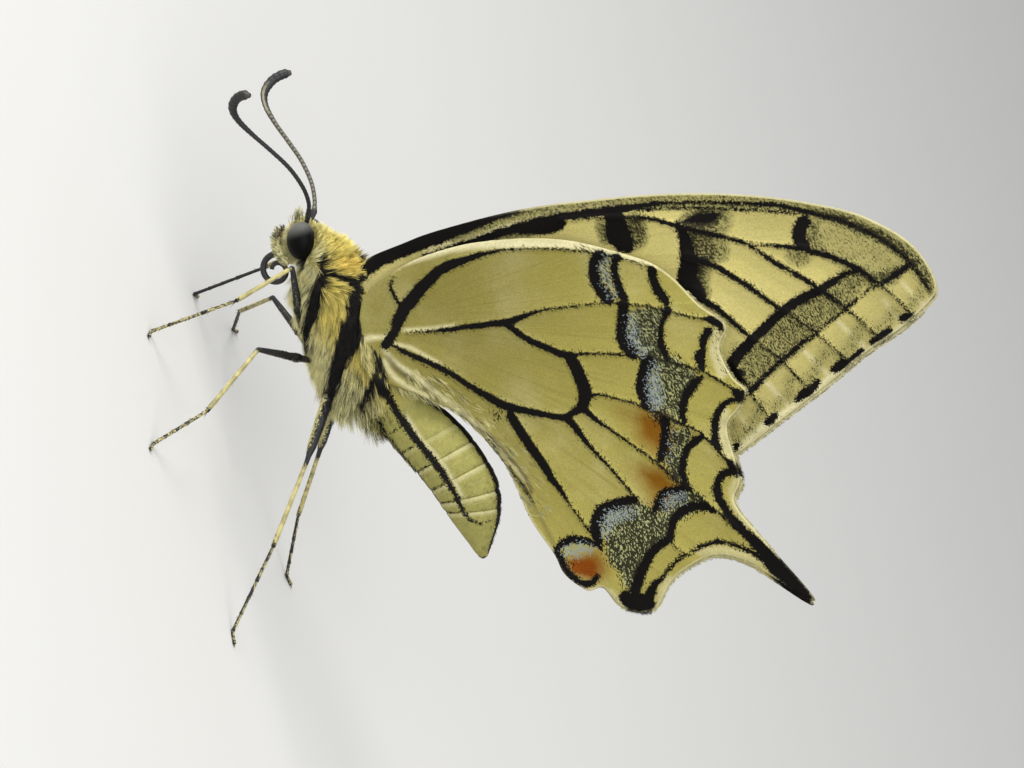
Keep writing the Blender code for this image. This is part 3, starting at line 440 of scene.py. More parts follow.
# Lie of the hair: at (along, aside, height) it points to (x, outward, z), with its length and lift.
HAIR_LIE = (
    (-2.34, 0.0, 0.74, -0.90, 0.10, 0.35, 0.36, 0.5), (-2.0, 0.9, 0.90, -0.70, 0.30, 0.50, 0.26, 0.4),
    (-1.9, 1.0, 0.10, -0.60, 0.40, 0.00, 0.22, 0.4), (-1.74, 0.0, -1.05, -0.30, 0.05, -0.95, 0.55, 0.6),
    (-1.5, 0.9, -0.90, -0.10, 0.30, -0.90, 0.45, 0.5), (-0.2, 1.3, -0.90, 0.55, 0.10, -0.85, 0.95, 0.6),
    (-0.8, 0.5, -1.20, 0.50, 0.05, -0.85, 0.95, 0.6),
    (-0.46, 0.0, 0.90, -0.50, 0.00, 0.85, 0.60, 0.6), (-0.4, 1.0, 1.00, -0.30, 0.10, 1.00, 0.60, 0.5),
    (0.6, 0.8, 2.00, -0.45, 0.10, 1.10, 1.00, 0.5), (0.4, 1.8, 0.90, -0.29, -0.15, 1.10, 1.00, 0.5),
    (1.6, 2.2, 1.50, -0.20, -0.10, 1.10, 1.15, 0.5), (2.4, 2.3, 0.80, 0.20, 0.10, 0.90, 0.90, 0.4),
    (4.0, 2.4, 1.80, 0.90, 0.10, 0.20, 0.80, 0.3), (4.5, 2.5, 0.00, 0.90, 0.15, -0.30, 1.00, 0.3),
    (1.5, 2.2, -0.60, 0.60, 0.20, -0.80, 0.90, 0.3), (1.5, 0.9, -2.10, 0.70, 0.10, -0.70, 1.60, 0.9),
    (0.4, 0.6, -1.60, 0.60, 0.10, -0.75, 1.40, 0.9), (2.8, 0.9, -2.60, 0.85, 0.10, -0.45, 1.50, 0.7),
    (4.0, 1.2, -3.40, 1.00, 0.10, -0.05, 1.60, 0.4), (5.0, 2.3, -2.30, 0.90, 0.15, -0.40, 1.20, 0.3),
    (7.5, 2.5, -1.00, 0.87, 0.15, -0.50, 1.20, 0.3), (9.5, 2.2, -2.80, 0.83, 0.20, -0.69, 1.50, 0.35),
    (9.5, 0.8, -4.00, 1.00, 0.07, -0.08, 1.90, 0.4), (9.0, 2.4, 0.90, 0.95, 0.10, 0.00, 0.90, 0.2),
    (5.0, 0.0, 3.00, 0.97, 0.00, 0.25, 0.60, 0.3), (9.5, 0.0, 3.00, 0.95, 0.00, 0.30, 0.70, 0.3),
    (11.4, 1.8, -0.80, 0.95, 0.08, -0.10, 0.90, 0.3), (12.0, 0.5, -2.60, 1.00, 0.05, 0.00, 1.50, 0.4),
    (11.6, 1.8, 0.90, 0.95, 0.05, 0.10, 0.35, 0.15), (13.0, 1.4, -0.40, 0.95, 0.05, 0.00, 0.40, 0.2),
    (12.0, 0.0, 2.40, 0.95, 0.00, 0.25, 0.60, 0.2), (14.2, 1.9, 0.50, 0.97, 0.00, 0.23, 0.30, 0.12),
    (14.6, 0.0, -1.80, 0.97, 0.00, 0.30, 0.45, 0.15), (19.0, 2.1, 0.80, 0.97, 0.00, 0.23, 0.20, 0.1),
    (19.0, 0.0, -1.1, 0.97, 0.00, 0.30, 0.25, 0.12), (23.0, 1.0, 0.50, 0.95, 0.00, 0.10, 0.20, 0.12),
)
EYE_SWELL = 1.03
HAIR_SHIFT = 0.45         # share of its length at which a hair takes the pattern
FORELOCK_AT = (-12.45, 0.0, 10.75)
CANDIDATES = 90000        # places tried for hairs over the whole skin
COAT_WIDTHS = {"head": 0.8, "abdomen": 0.8}
LOCK_HAIRS = 14           # hairs gathered in a lock
HAIR_STRAY = 0.16         # how far hairs stray from their lie
ROOT_DEPTH = 0.03         # how deep a hair's root sits in the skin
BAKE_PATCH = 0.003        # a hair's share of the bake's map
UNROLL_FROM = 4.0         # room on that map before and behind the trunk
HEAD_SHARE = 0.98         # hairs rooted inside this share of the head's outline belong to the head
ROOT_CANDIDATES = 60000
PALP_HAIRS = 900
FORELOCK_HAIRS = 90
THIGH_CANDIDATES = 3500
FRINGE_HAIRS = 1800
FOLD_HAIRS = 2200
COAT_SEED = 7
FRINGE_SEED = 11
CREAM_EDGE = ((0.4, 1.2, 1.9, 2.7, 3.8, 4.7, 5.6, 9.0), (1.2, 0.9, 0.3, -0.7, -1.6, -2.5, -3.2, -3.4))
# Where hair grows on the wings: limits of the bearing, of the reach and of the distance to the edge.
FRINGE_AREAS = {"forewing": ((36.0, 70.5), (19.0, 45.0), (-1.0, 0.01)),
                "hindwing": ((24.3, 80.0), (19.0, 31.5), (-1.0, 0.01))}
FOLD_AREA = ((0.0, 33.0), (3.5, 17.0), (-1.0, 1.7))
FRINGE_LENGTH = 0.17
FOLD_LENGTH = 0.9
# The hair laps over the wing roots up to this height at each place along the trunk.
ROOT_HAIR = ((3.5, 4.5, 5.5, 7.3, 8.7, 9.5, 11.1), (2.2, 1.6, 1.15, 0.75, 1.15, 0.95, 0.5))

# Camera: it looks at TARGET from DISTANCE, turned so that the head is up.
TARGET = (0.0027, 0.0, 0.0219)
DISTANCE = 0.450
AZIMUTH = -3.0
ELEVATION = 13.0
ROLL = 74.0
LENS = 229.4
SENSOR = 36.0
NEAREST_SEEN = 0.01
FLOOR_SIZE = 12.0
KEY_LIGHT = (0.26, 1.9)   # size and power
FILL_LIGHT = (0.60, 2.6)
SKY = (0.95, 0.97, 1.0, 1.0)
SKY_STRENGTH = 0.52


# ---- settings

def colour(name, description, default):
    """A colour setting."""
    return FloatVectorProperty(name=name, description=description, subtype='COLOR', size=3,
                               min=0.0, max=1.0, default=default)


def measure(name, description, default):
    """A length setting, in metres."""
    return FloatProperty(name=name, description=description, unit='LENGTH', subtype='DISTANCE',
                         min=0.0, precision=5, default=default)


class ButterflyColours(bpy.types.PropertyGroup):
    """Colours of the scales, the hair and the hard parts."""
    fore_yellow: colour("Front wing", "Ground colour of the front wings", (0.50, 0.435, 0.150))
    hind_yellow: colour("Hind wing", "Ground colour of the hind wings", (0.30, 0.262, 0.064))
    pale: colour("Pale scales", "Pale edges and streaks of the wings", (0.62, 0.57, 0.33))
    black: colour("Black scales", "Veins, bands and spots", (0.004, 0.0035, 0.003))
    blue: colour("Blue scales", "Blue dusting of the hind wings", (0.23, 0.27, 0.27))
    orange: colour("Orange scales", "Flush beside the blue band", (0.19, 0.080, 0.004))
    red: colour("Red scales", "Spot at the hind corner", (0.20, 0.048, 0.002))
    grey: colour("Grey scales", "Light specks among the dusting of the hind wings", (0.36, 0.40, 0.22))
    tan: colour("Tan scales", "Scales among the dusting of the front wings", (0.285, 0.260, 0.092))
    brown: colour("Brown scales", "Inner fold of the hind wings", (0.045, 0.036, 0.020))
    cream: colour("Cream hair", "Hair of the breast, face and belly", (0.62, 0.58, 0.29))
    gold: colour("Golden hair", "Hair of the collar", (0.74, 0.52, 0.09))
    yellow: colour("Yellow hair", "Hair of the thorax", (0.65, 0.545, 0.145))
    abdomen: colour("Abdomen", "Scales of the abdomen", (0.30, 0.278, 0.080))
    soot: colour("Black hair", "Dark hair of the body", (0.006, 0.005, 0.004))
    eye: colour("Eyes", "Compound eyes", (0.002, 0.002, 0.002))
    horn: colour("Dark cuticle", "Feelers, proboscis and thighs", (0.010, 0.010, 0.011))
    straw: colour("Pale cuticle", "Shins and pale leg scales", (0.52, 0.46, 0.19))
    floor: colour("Floor", "Plain ground under the model", (0.70, 0.69, 0.66))


class ButterflySizes(bpy.types.PropertyGroup):
    """Sizes of the fine work."""
    wing_pitch: measure("Wing grid", "Distance between neighbouring points of a wing", 0.00016)
    vein_thickness: measure("Vein thickness", "Thickness of a wing at its veins", 0.00030)
    scale_size: measure("Scale size", "Size of the dusting's specks", 0.00007)
    hair_width: measure("Hair width", "Width of a hair at its root", 0.00006)
    hair_count: IntProperty(name="Hairs", description="Hairs in each full coat piece", min=100, max=9900,
                            default=9800)


# ---- shared geometry

def smooth_curve(points, steps, closed=False):
    """Catmull-Rom points through the given ones, with steps chords between neighbours."""
    points = np.array(points, float)
    if closed:
        ring = np.vstack([points[-1:], points, points[:2]])
    else:
        ring = np.vstack([points[0] * 2 - points[1], points, points[-1] * 2 - points[-2]])
    result = []
    for before, start, end, after in zip(ring, ring[1:], ring[2:], ring[3:]):
        for t in np.arange(steps) / steps:
            pull = (end - before) * t + (before * 2 - start * 5 + end * 4 - after) * t ** 2
            result.append(start + (pull + (start * 3 - before - end * 3 + after) * t ** 3) / 2)
    if not closed:
        result.append(points[-1])
    return np.array(result)


def resample(points, count):
    """The same run of points, evenly spaced."""
    points = np.array(points, float)
    reach = np.concatenate([[0], np.cumsum(np.linalg.norm(np.diff(points, axis=0), axis=1))])
    even = np.linspace(0, reach[-1], count)
    return np.stack([np.interp(even, reach, points[:, axis]) for axis in range(points.shape[1])], axis=1)


def ring_matrix(centre, across, upward):
    """Matrix that lays the unit circle on an ellipse with the two given half axes."""
    ring = Matrix((across, upward, across.cross(upward).normalized())).transposed().to_4x4()
    ring.translation = centre
    return ring


def sweep(bm, frames, sides):
    """Add a tube that runs from ring to ring, closed at both ends."""
    made = bmesh.ops.create_circle(bm, cap_ends=True, segments=sides, radius=1.0, matrix=frames[0])
    end = next(iter(made["verts"][0].link_faces))
    for previous, current in zip(frames, frames[1:]):
        moved = bmesh.ops.extrude_face_region(bm, geom=[end, *end.edges, *end.verts])
        verts = [element for element in moved["geom"] if isinstance(element, bmesh.types.BMVert)]
        bmesh.ops.transform(bm, verts=verts, matrix=current @ previous.inverted())
        end = next(element for element in moved["geom"] if isinstance(element, bmesh.types.BMFace))


def tube(bm, points, radii, sides, flat=1.0):
    """Add a round tube along points."""
    points = [Vector(point) for point in points]
    frames = []
    last = len(points) - 1
    for index, (point, radius) in enumerate(zip(points, radii)):
        heading = (points[min(index + 1, last)] - points[max(index - 1, 0)]).normalized()
        across = heading.cross(Vector((0, 0, 1))).normalized()
        frames.append(ring_matrix(point, across * radius * flat, across.cross(heading) * radius))
    sweep(bm, frames, sides)


def metre_mesh(name, bm):
    """Turn a bmesh in millimetres into a mesh in metres."""
    bmesh.ops.scale(bm, vec=(MM, MM, MM), verts=bm.verts)
    mesh = bpy.data.meshes.new(name)
    bm.to_mesh(mesh)
    bm.free()
    return mesh


def closed_mesh(name, bm):
    """Finish a closed shape with its faces outwards, and in an order that is the same at each run."""
    bmesh.ops.recalc_face_normals(bm, faces=bm.faces)
    if bm.calc_volume(signed=True) < 0:
        bmesh.ops.reverse_faces(bm, faces=bm.faces)
    mesh = metre_mesh(name, bm)
    faces = sorted(list(polygon.vertices) for polygon in mesh.polygons)
    starts = np.cumsum([0] + [len(face) for face in faces[:-1]])
    mesh.loops.foreach_set("vertex_index", np.concatenate(faces).astype(np.int32))
    mesh.polygons.foreach_set("loop_start", starts.astype(np.int32))
    mesh.update(calc_edges=True)
    return mesh


def smooth(bm, verts, times):
    """Even out some vertices."""
    for turn in range(times):
        bmesh.ops.smooth_vert(bm, verts=verts, factor=0.5, use_axis_x=True, use_axis_y=True, use_axis_z=True)


def values_of(items, key, width=1, kind=np.float32):
    """One property of every item, in rows of the given width."""
    flat = np.empty(len(items) * width, kind)
    items.foreach_get(key, flat)
    return flat.reshape(-1, width)


def place_of(mesh):
    """Vertices of a mesh in millimetres."""
    return values_of(mesh.vertices, "co", 3).astype(float) / MM


def unit(vectors):
    """The same vectors at length 1."""
    return vectors / np.linalg.norm(vectors, axis=1).clip(1e-6, None)[:, None]


def nearest_of(points, places):
    """Index of the point nearest to each place."""
    tree = kdtree.KDTree(len(points))
    for index, point in enumerate(points):
        tree.insert(point, index)
    tree.balance()
    return np.array([tree.find(place)[1] for place in places])


def note(mesh, **numbers):
    """Keep numbers on the vertices of a mesh, for its material to read."""
    for name, values in numbers.items():
        layer = mesh.attributes.new(name, 'FLOAT', 'POINT')
        layer.data.foreach_set("value", np.asarray(values, np.float32))


def noted(mesh, *names):
    """Numbers kept on the vertices of a mesh."""
    return [values_of(mesh.attributes[name].data, "value")[:, 0] for name in names]


def new_object(name, data):
    """A new object in the scene."""
    item = bpy.data.objects.new(name, data)
    bpy.context.scene.collection.objects.link(item)
    return item


def add_piece(name, mesh, finish, slot, replaced=()):
    """Make a mesh a piece of the model."""
    mesh.shade_smooth()
    mesh.materials.append(finish)
    item = new_object(name, mesh)
    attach(item, "root")
    if replaced:
        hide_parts(*replaced)
    return item


def stroke_gap(points, stroke):
    """Distance of each point to the edge of a stroke, negative inside it."""
    gap = np.full(len(points), np.inf)
    stroke = np.array(stroke, float)
    for start, end in zip(stroke, stroke[1:]):
        run = end[:2] - start[:2]
        share = ((points - start[:2]) @ run / max(run @ run, 1e-9)).clip(0, 1)
        away = np.linalg.norm(points - start[:2] - share[:, None] * run, axis=1)
        gap = np.minimum(gap, away - start[2] - (end[2] - start[2]) * share)
    return gap


def outline_gap(points, outline):
    """Distance of each point to a closed outline, negative inside it, and the nearest place on it."""
    away = np.full(len(points), np.inf)
    foot = np.zeros_like(points)
    inside = np.zeros(len(points), bool)
    for start, end in zip(outline, np.roll(outline, -1, axis=0)):
        run = end - start
        share = ((points - start) @ run / max(run @ run, 1e-12)).clip(0, 1)
        place = start + share[:, None] * run
        far = np.linalg.norm(points - place, axis=1)
        nearer = far < away
        away[nearer] = far[nearer]
        foot[nearer] = place[nearer]
        if start[1] != end[1]:
            crossing = start[0] + (points[:, 1] - start[1]) * run[0] / run[1]
            inside ^= ((start[1] > points[:, 1]) != (end[1] > points[:, 1])) & (points[:, 0] < crossing)
    return np.where(inside, -away, away), foot


def wavy(points, size, seed=0.0):
    """Smooth noise from about -1 to 1 with features of the given size."""
    shift = Vector((seed, seed * 1.7, 0.0))
    return np.array([noise.noise(Vector(point) / size + shift) for point in points])


def trunk_place(points):
    """Places of points along and above the trunk's axis."""
    run = points[:, 0] - NECK_X
    rise = points[:, 2] - NECK_Z
    along = run * math.cos(TRUNK_PITCH) + rise * math.sin(TRUNK_PITCH)
    return along, rise * math.cos(TRUNK_PITCH) - run * math.sin(TRUNK_PITCH)


def trunk_point(along, height):
    """Point of the middle plane at a place along and above the trunk's axis."""
    return Vector((NECK_X + along * math.cos(TRUNK_PITCH) - height * math.sin(TRUNK_PITCH), 0.0,
                   NECK_Z + along * math.sin(TRUNK_PITCH) + height * math.cos(TRUNK_PITCH)))


# ---- shared materials

class Level:
    """A number in a material, which adds and multiplies as plain numbers do."""

    def __init__(self, finish, socket):
        self.finish = finish
        self.socket = socket

    def __add__(self, other):
        return self.finish.math('ADD', self, other)

    def __sub__(self, other):
        return self.finish.math('SUBTRACT', self, other)

    def __rsub__(self, other):
        return self.finish.math('SUBTRACT', other, self)

    def __mul__(self, other):
        return self.finish.math('MULTIPLY', self, other)

    def __pow__(self, other):
        return self.finish.math('POWER', self, other)

    def __lt__(self, other):
        return self.finish.math('LESS_THAN', self, other)


class Finish:
    """Short calls that build one material from nodes."""

    def __init__(self, name, rough):
        self.material = bpy.data.materials.new(name)
        self.material.use_nodes = True
        self.tree = self.material.node_tree
        self.shader = self.tree.nodes["Principled BSDF"]
        self.set(Roughness=rough)
        self.place = self.node("ShaderNodeTexCoord").outputs["Object"]

    def node(self, kind, **settings):
        """A new node with its settings."""
        made = self.tree.nodes.new(kind)
        for key, value in settings.items():
            setattr(made, key, value)
        return made

    def feed(self, socket, value):
        """Link a socket to another, or set its own value."""
        if isinstance(value, Level):
            value = value.socket
        if isinstance(value, bpy.types.NodeSocket):
            self.tree.links.new(value, socket)
        elif socket.type == 'RGBA':
            socket.default_value = (*value[:3], 1.0)
        else:
            socket.default_value = value

    def note(self, name):
        """A number kept on the mesh."""
        return Level(self, self.node("ShaderNodeAttribute", attribute_name=name).outputs["Fac"])

    def math(self, operation, first, second=0.0, clamp=False):
        """One sum."""
        made = self.node("ShaderNodeMath", operation=operation, use_clamp=clamp)
        self.feed(made.inputs[0], first)
        self.feed(made.inputs[1], second)
        return Level(self, made.outputs[0])

    def step(self, value, low, high):
        """A soft step from 0 at low to 1 at high."""
        made = self.node("ShaderNodeMapRange", interpolation_type='SMOOTHSTEP')
        for key, number in (("Value", value), ("From Min", low), ("From Max", high)):
            self.feed(made.inputs[key], number)
        return Level(self, made.outputs["Result"])

    def mix(self, share, first, second, blend='MIX'):
        """One colour over another."""
        made = self.node("ShaderNodeMix", data_type='RGBA', blend_type=blend)
        self.feed(made.inputs[0], share)
        self.feed(made.inputs[6], first)
        self.feed(made.inputs[7], second)
        return made.outputs[2]

    def shade(self, surface, tone):
        """A colour made lighter or darker."""
        return self.mix(1.0, surface, self.join(tone, tone, tone), 'MULTIPLY')

    def noise(self, size, detail=2.0, place=None):
        """Soft noise with features of the given size, in metres, or in the place's own unit."""
        made = self.node("ShaderNodeTexNoise")
        made.inputs["Scale"].default_value = 1.0 / size
        made.inputs["Detail"].default_value = detail
        self.feed(made.inputs["Vector"], place or self.place)
        return Level(self, made.outputs[0])

    def cells(self, size, place=None):
        """Cells of the given size: three random numbers for each, and the distance to its middle."""
        made = self.node("ShaderNodeTexVoronoi")
        made.inputs["Scale"].default_value = 1.0 / size
        self.feed(made.inputs["Vector"], place or self.place)
        parts = self.node("ShaderNodeSeparateColor")
        self.feed(parts.inputs[0], made.outputs["Color"])
        return [Level(self, socket) for socket in (*parts.outputs[:3], made.outputs["Distance"])]

    def join(self, x, y, z=0.0):
        """A place made of three numbers."""
        made = self.node("ShaderNodeCombineXYZ")
        for socket, value in zip(made.inputs, (x, y, z)):
            self.feed(socket, value)
        return made.outputs[0]

    def bump(self, height, depth, strength=1.0):
        """Relief of the given depth, in metres."""
        made = self.node("ShaderNodeBump")
        made.inputs["Strength"].default_value = strength
        made.inputs["Distance"].default_value = depth
        self.feed(made.inputs["Height"], height)
        self.feed(self.shader.inputs["Normal"], made.outputs[0])

    def paint(self, value):
        """Use a colour as the surface's own."""
        self.feed(self.shader.inputs["Base Color"], value)

    def set(self, **sockets):
        """Set the shader's own sockets by name, with underscores for spaces."""
        for key, value in sockets.items():
            self.shader.inputs[key.replace("_", " ")].default_value = value


# ---- wings

def from_hinge(rows, hinge, turn):
    """Rows that start with a length and a bearing from the hinge, made to start with their place (x, z)."""
    rows = np.array(rows, float)
    angle = np.radians(rows[:, 1] + turn)
    ends = [hinge[0] + rows[:, 0] * np.cos(angle), hinge[1] + rows[:, 0] * np.sin(angle)]
    return np.column_stack([*ends, rows[:, 2:]])


def wing_spread(places):
    """Distance that a wing stands out from its layer."""
    height = trunk_place(np.insert(places, 1, 0.0, axis=1))[1]
    closed = (height / SPREAD_ENDS).clip(0, 1)
    belly = ((height - SPREAD_ENDS) / BOW_SPAN).clip(0, 1)
    return ROOT_SPREAD * (1 - closed) ** 1.5 + WING_BOW * np.sin(np.pi * belly)


def nearest_mark(places, strokes, hinge, turn):
    """Distance of each place to the nearest of some strokes, negative inside one."""
    gaps = [stroke_gap(places, from_hinge(stroke, hinge, turn)) for stroke in strokes.values()]
    return np.min(gaps, axis=0)


def soft_mark(places, strokes, hinge, turn, soft):
    """Strongest of some soft strokes at each place, from 0 to 1."""
    return np.max([amount * (0.5 - stroke_gap(places, from_hinge(stroke, hinge, turn)) / soft).clip(0, 1)
                   for amount, stroke in strokes.values()], axis=0)


def wing_sheet(outline, pitch):
    """A flat grid of the middle plane with the outline's edge, its normals along -Y."""
    low, high = outline.min(axis=0) - pitch, outline.max(axis=0) + pitch
    counts = np.ceil((high - low) / pitch).astype(int)
    size = counts * pitch
    middle = (low + high) / 2
    bm = bmesh.new()
    place = (Matrix.Translation((middle[0], 0, middle[1])) @ Matrix.Rotation(math.pi / 2, 4, 'X')
             @ Matrix.Diagonal((size[0], size[1], 1, 1)))
    bmesh.ops.create_grid(bm, x_segments=int(counts[0]), y_segments=int(counts[1]), size=0.5, matrix=place)
    gaps, feet = outline_gap(np.array([(vert.co.x, vert.co.z) for vert in bm.verts]), outline)
    feet = {vert: foot for vert, foot, gap in zip(bm.verts, feet, gaps) if gap <= pitch / 2}
    near = [vert for vert, gap in zip(bm.verts, gaps) if -3 * pitch < gap <= pitch / 2]
    bmesh.ops.delete(bm, geom=[vert for vert in bm.verts if vert not in feet], context='VERTS')
    bmesh.ops.delete(bm, geom=[vert for vert in bm.verts if not vert.link_faces], context='VERTS')
    for vert in bm.verts:
        if vert.is_boundary:
            vert.co.x, vert.co.z = feet[vert]
    smooth(bm, [vert for vert in near if vert.is_valid and not vert.is_boundary], 2)
    return bm


def wing_mesh(stem, side, pitch):
    """A wing with its relief and its pattern's numbers, and how much of a vein each point is."""
    hinge, rays, turns, layer, tables = WINGS[stem]
    turn = turns[side]
    outline = smooth_curve(from_hinge(rays, hinge, turn), OUTLINE_STEPS, closed=True)
    bm = wing_sheet(outline, pitch)
    places = np.array([(vert.co.x, vert.co.z) for vert in bm.verts])
    veins = nearest_mark(places, tables["veins"], hinge, turn)
    mark = np.minimum(veins, nearest_mark(places, tables["black"], hinge, turn))
    edge = -outline_gap(places, outline)[0]
    cosine, sine = math.cos(math.radians(turn)), math.sin(math.radians(turn))
    unturned = (places - hinge) @ np.array(((cosine, -sine), (sine, cosine)))
    reach = np.linalg.norm(unturned, axis=1)
    bearing = np.degrees(np.arctan2(unturned[:, 1], unturned[:, 0]))
    away = veins.clip(0, None)
    relief = -CELL_SAG * (1 - np.exp(-(away / SAG_REACH) ** 2))
    relief += WING_WAVE * wavy(np.insert(unturned, 1, 0.0, axis=1), WAVE_SIZE, side * 3.0)
    depth, inward, width = PLEATS
    folds = wavy(np.stack([bearing, 0 * bearing, 0 * bearing], axis=1), width, side * 5.0)
    relief += depth * folds * np.exp(-edge / inward) * (reach / 25).clip(0, 1)
    for vert, distance in zip(bm.verts, layer + wing_spread(places) + relief):
        vert.co.y = side * distance
    mesh = metre_mesh(stem + "_" + SIDES[side], bm)
    note(mesh, mark=mark, vein=veins, edge=edge, reach=reach, bearing=bearing)
    for key, soft in SOFTNESS.items():
        if key in tables:
            note(mesh, **{key: soft_mark(places, tables[key], hinge, turn, soft)})
    return mesh, np.exp(-(away / RIDGE_WIDTH) ** 2)


def add_wings(stem, finish):
    """Make a pair of wings pieces, thick at the veins and thin between them."""
    sizes = bpy.context.scene.butterfly_sizes
    for side, word in SIDES.items():
        name = stem + "_" + word
        mesh, ridge = wing_mesh(stem, side, sizes.wing_pitch / MM)
        item = add_piece(name + "_scales", mesh, finish, "wing_scales", (name,))
        group = item.vertex_groups.new(name="ridge")
        for level in range(1, RIDGE_LEVELS + 1):
            picked = np.flatnonzero(np.ceil(ridge * RIDGE_LEVELS) == level)
            if len(picked):
                group.add(picked.tolist(), level / RIDGE_LEVELS, 'REPLACE')
        wall = item.modifiers.new("membrane", 'SOLIDIFY')
        wall.thickness = sizes.vein_thickness
        wall.offset = 0.0
        wall.vertex_group = "ridge"
        wall.thickness_vertex_group = SHEET_FLOOR


def wing_finish(name, ground, hind):
    """Scales of a wing: ground colour, veins and bands with ragged edges, and dusting."""
    colours = bpy.context.scene.butterfly_colours
    size = bpy.context.scene.butterfly_sizes.scale_size
    finish = Finish(name, 0.62)
    bearing, reach, edge = finish.note("bearing"), finish.note("reach"), finish.note("edge")
    vein, dust = finish.note("vein"), finish.note("dust")
    second, third, middle = finish.cells(size)[1:]
    rows = finish.join(bearing * (math.pi / 180) * reach, reach * 0.62)
    first = finish.cells((1.05 if hind else 0.70) * size / MM, rows)[0]
    streak = finish.noise(1.0, 3.0, finish.join(bearing * 0.9, reach * 0.10))
    fine = finish.noise(1.0, 2.0, finish.join(bearing * 3.5, reach * 0.3))
    # Ground colour with soft patches and streaks that fan out from the hinge
    patch = finish.noise(0.004, 3.0)
    surface = finish.mix(finish.step(patch, 0.45, 0.75) * 0.18, ground, colours.pale)
    surface = finish.mix(finish.step(streak, 0.5, 0.75) * 0.45, surface, ground * 0.72)
    surface = finish.mix(finish.step(fine, 0.55, 0.75) * 0.22, surface, ground * 1.3)
    if hind:
        surface = finish.shade(surface, finish.step(reach, 4.0, 22.0) * 0.36 + 0.78)
    else:
        outer = finish.step(edge, 4.5, 1.0) * finish.step(reach, 24.0, 28.0)
        surface = finish.mix(outer * 0.8, surface, ground * 0.72)
    # Pale strokes: pale scales, and also painted highlights on the folds of the edge and on the hind wings'
    # inner fold and vein roots.
    surface = finish.mix(finish.note("pale"), surface, colours.pale)
    if hind:
        surface = finish.mix(finish.step(dust, 0.25, 0.8) * 0.6, surface, colours.grey)
        # Brown strokes: dark scales of the inner edge, and painted shade in the crease of the inner fold.
        surface = finish.mix(finish.note("brown"), surface, colours.brown)
        blush = finish.math('ADD', streak * 0.5, 0.80, clamp=True)
        surface = finish.mix(finish.note("orange") * blush, surface, colours.orange)
        surface = finish.mix(finish.note("red") * blush, surface, colours.red)
    else:
        surface = finish.mix(finish.step(dust, 0.05, 0.5) * 0.85, surface, colours.tan)
    surface = finish.shade(surface, second * 0.24 + 0.86)
    # Black veins and bands, with frayed edges, then black specks where there is dusting
    frayed = (third - 0.5) * 0.19 + (finish.noise(0.0006, 2.0) - 0.5) * 0.16
    if hind:
        frayed = frayed * (finish.step(vein, 0.04, 0.20) * 0.45 + 0.55)
    line = finish.note("mark") + frayed
    chance = dust ** (1.0 if hind else 2.0) * (finish.step(fine, 0.3, 0.65) * 0.4 + 0.72)
    speck = first < chance + finish.step(line, 0.24, 0.0) * 0.20
    dark = finish.math('MAXIMUM', 1.0 - finish.step(line, -0.03, 0.03), speck * 0.93)
    surface = finish.mix(dark, surface, colours.black)
    rim = finish.step(edge, 0.16, 0.08) * finish.step(reach, 8.0, 16.0) * finish.step(line, -0.25, 0.05)
    surface = finish.mix(rim * 0.6, surface, colours.pale)
    if hind:
        surface = finish.mix((second < finish.note("blue") * 0.85) * 0.9, surface, colours.blue)
    finish.paint(surface)
    finish.set(Specular_IOR_Level=0.07)
    shingle = middle * 0.5 + third * 0.8
    fluted = (streak + fine * 0.5) * 1.6
    finish.bump(shingle + finish.step(vein, 0.22, -0.05) * 3.0 + fluted, 0.00003, 0.7)
    return finish.material


class BUTTERFLY_OT_forewings(bpy.types.Operator):
    """Build the two front wings with their scales"""
    bl_idname = "butterfly.forewings"
    bl_label = "Front wings"

    def execute(self, context):
        ground = context.scene.butterfly_colours.fore_yellow
        add_wings("forewing", wing_finish("front wing scales", ground, hind=False))
        return {'FINISHED'}


class BUTTERFLY_OT_hindwings(bpy.types.Operator):
    """Build the two tailed hind wings with their scales"""
    bl_idname = "butterfly.hindwings"
    bl_label = "Hind wings"

    def execute(self, context):
        ground = context.scene.butterfly_colours.hind_yellow
        add_wings("hindwing", wing_finish("hind wing scales", ground, hind=True))
        return {'FINISHED'}


# ---- body

def body_marks(points):
    """Numbers of the body's pattern: distances to black and to a joint, gold, pale, and the trunk's place."""
    along, height = trunk_place(points)
    places = np.stack([along, height], axis=1)
    aside = np.abs(points[:, 1])
    black = np.full(len(points), np.inf)
    for key, stroke in BODY_BLACK.items():
        gap = stroke_gap(places, stroke)
        if key != "belly":
            gap = np.where(aside > FLANK_FROM, gap, np.inf)
        black = np.minimum(black, gap)
    middle = np.abs(aside - np.interp(along, (12.0, 20.0, 24.4), (0.62, 0.50, 0.16)))
    under = height < np.interp(along, (12.0, 24.4), (-1.0, 0.0))
    behind = along > ABDOMEN_START
    black = np.where(behind & under, np.minimum(black, middle - 0.10), black)
    above = height > np.interp(along, (0.0, 13.0, 23.0, 24.5), (2.0, 1.2, 1.0, 0.0))
    stripe = np.interp(along, (1.0, 2.0, 4.0, 11.0, 13.5, 22.0, 24.4),
                       (-0.2, 0.4, 0.9, 0.9, BACK_STRIPE, BACK_STRIPE, 0.25))
    black = np.where(above, np.minimum(black, aside - stripe), black)
    joints = np.full(len(points), np.inf)
    for at, slope in SEGMENT_JOINTS:
        distance = along - at - slope * (height - JOINT_HEIGHT)
        joints = np.where(np.abs(distance) < np.abs(joints), distance, joints)
    edge = np.interp(along, *BELLY_EDGE)
    black = np.where(behind & (height < edge), np.minimum(black, np.abs(joints) - 0.05), black)
    pale = np.exp(-((height - edge - 0.42) / 0.16) ** 2) * ((along - ABDOMEN_START) / 0.8).clip(0, 1)
    return {"dark": black, "gold": 0.8 * (0.5 - stroke_gap(places, BODY_GOLD) / 0.8).clip(0, 1),
            "joint": joints.clip(-2, 2), "pale": pale * ((20.6 - along) / 0.8).clip(0, 1),
            "along": along, "height": height}


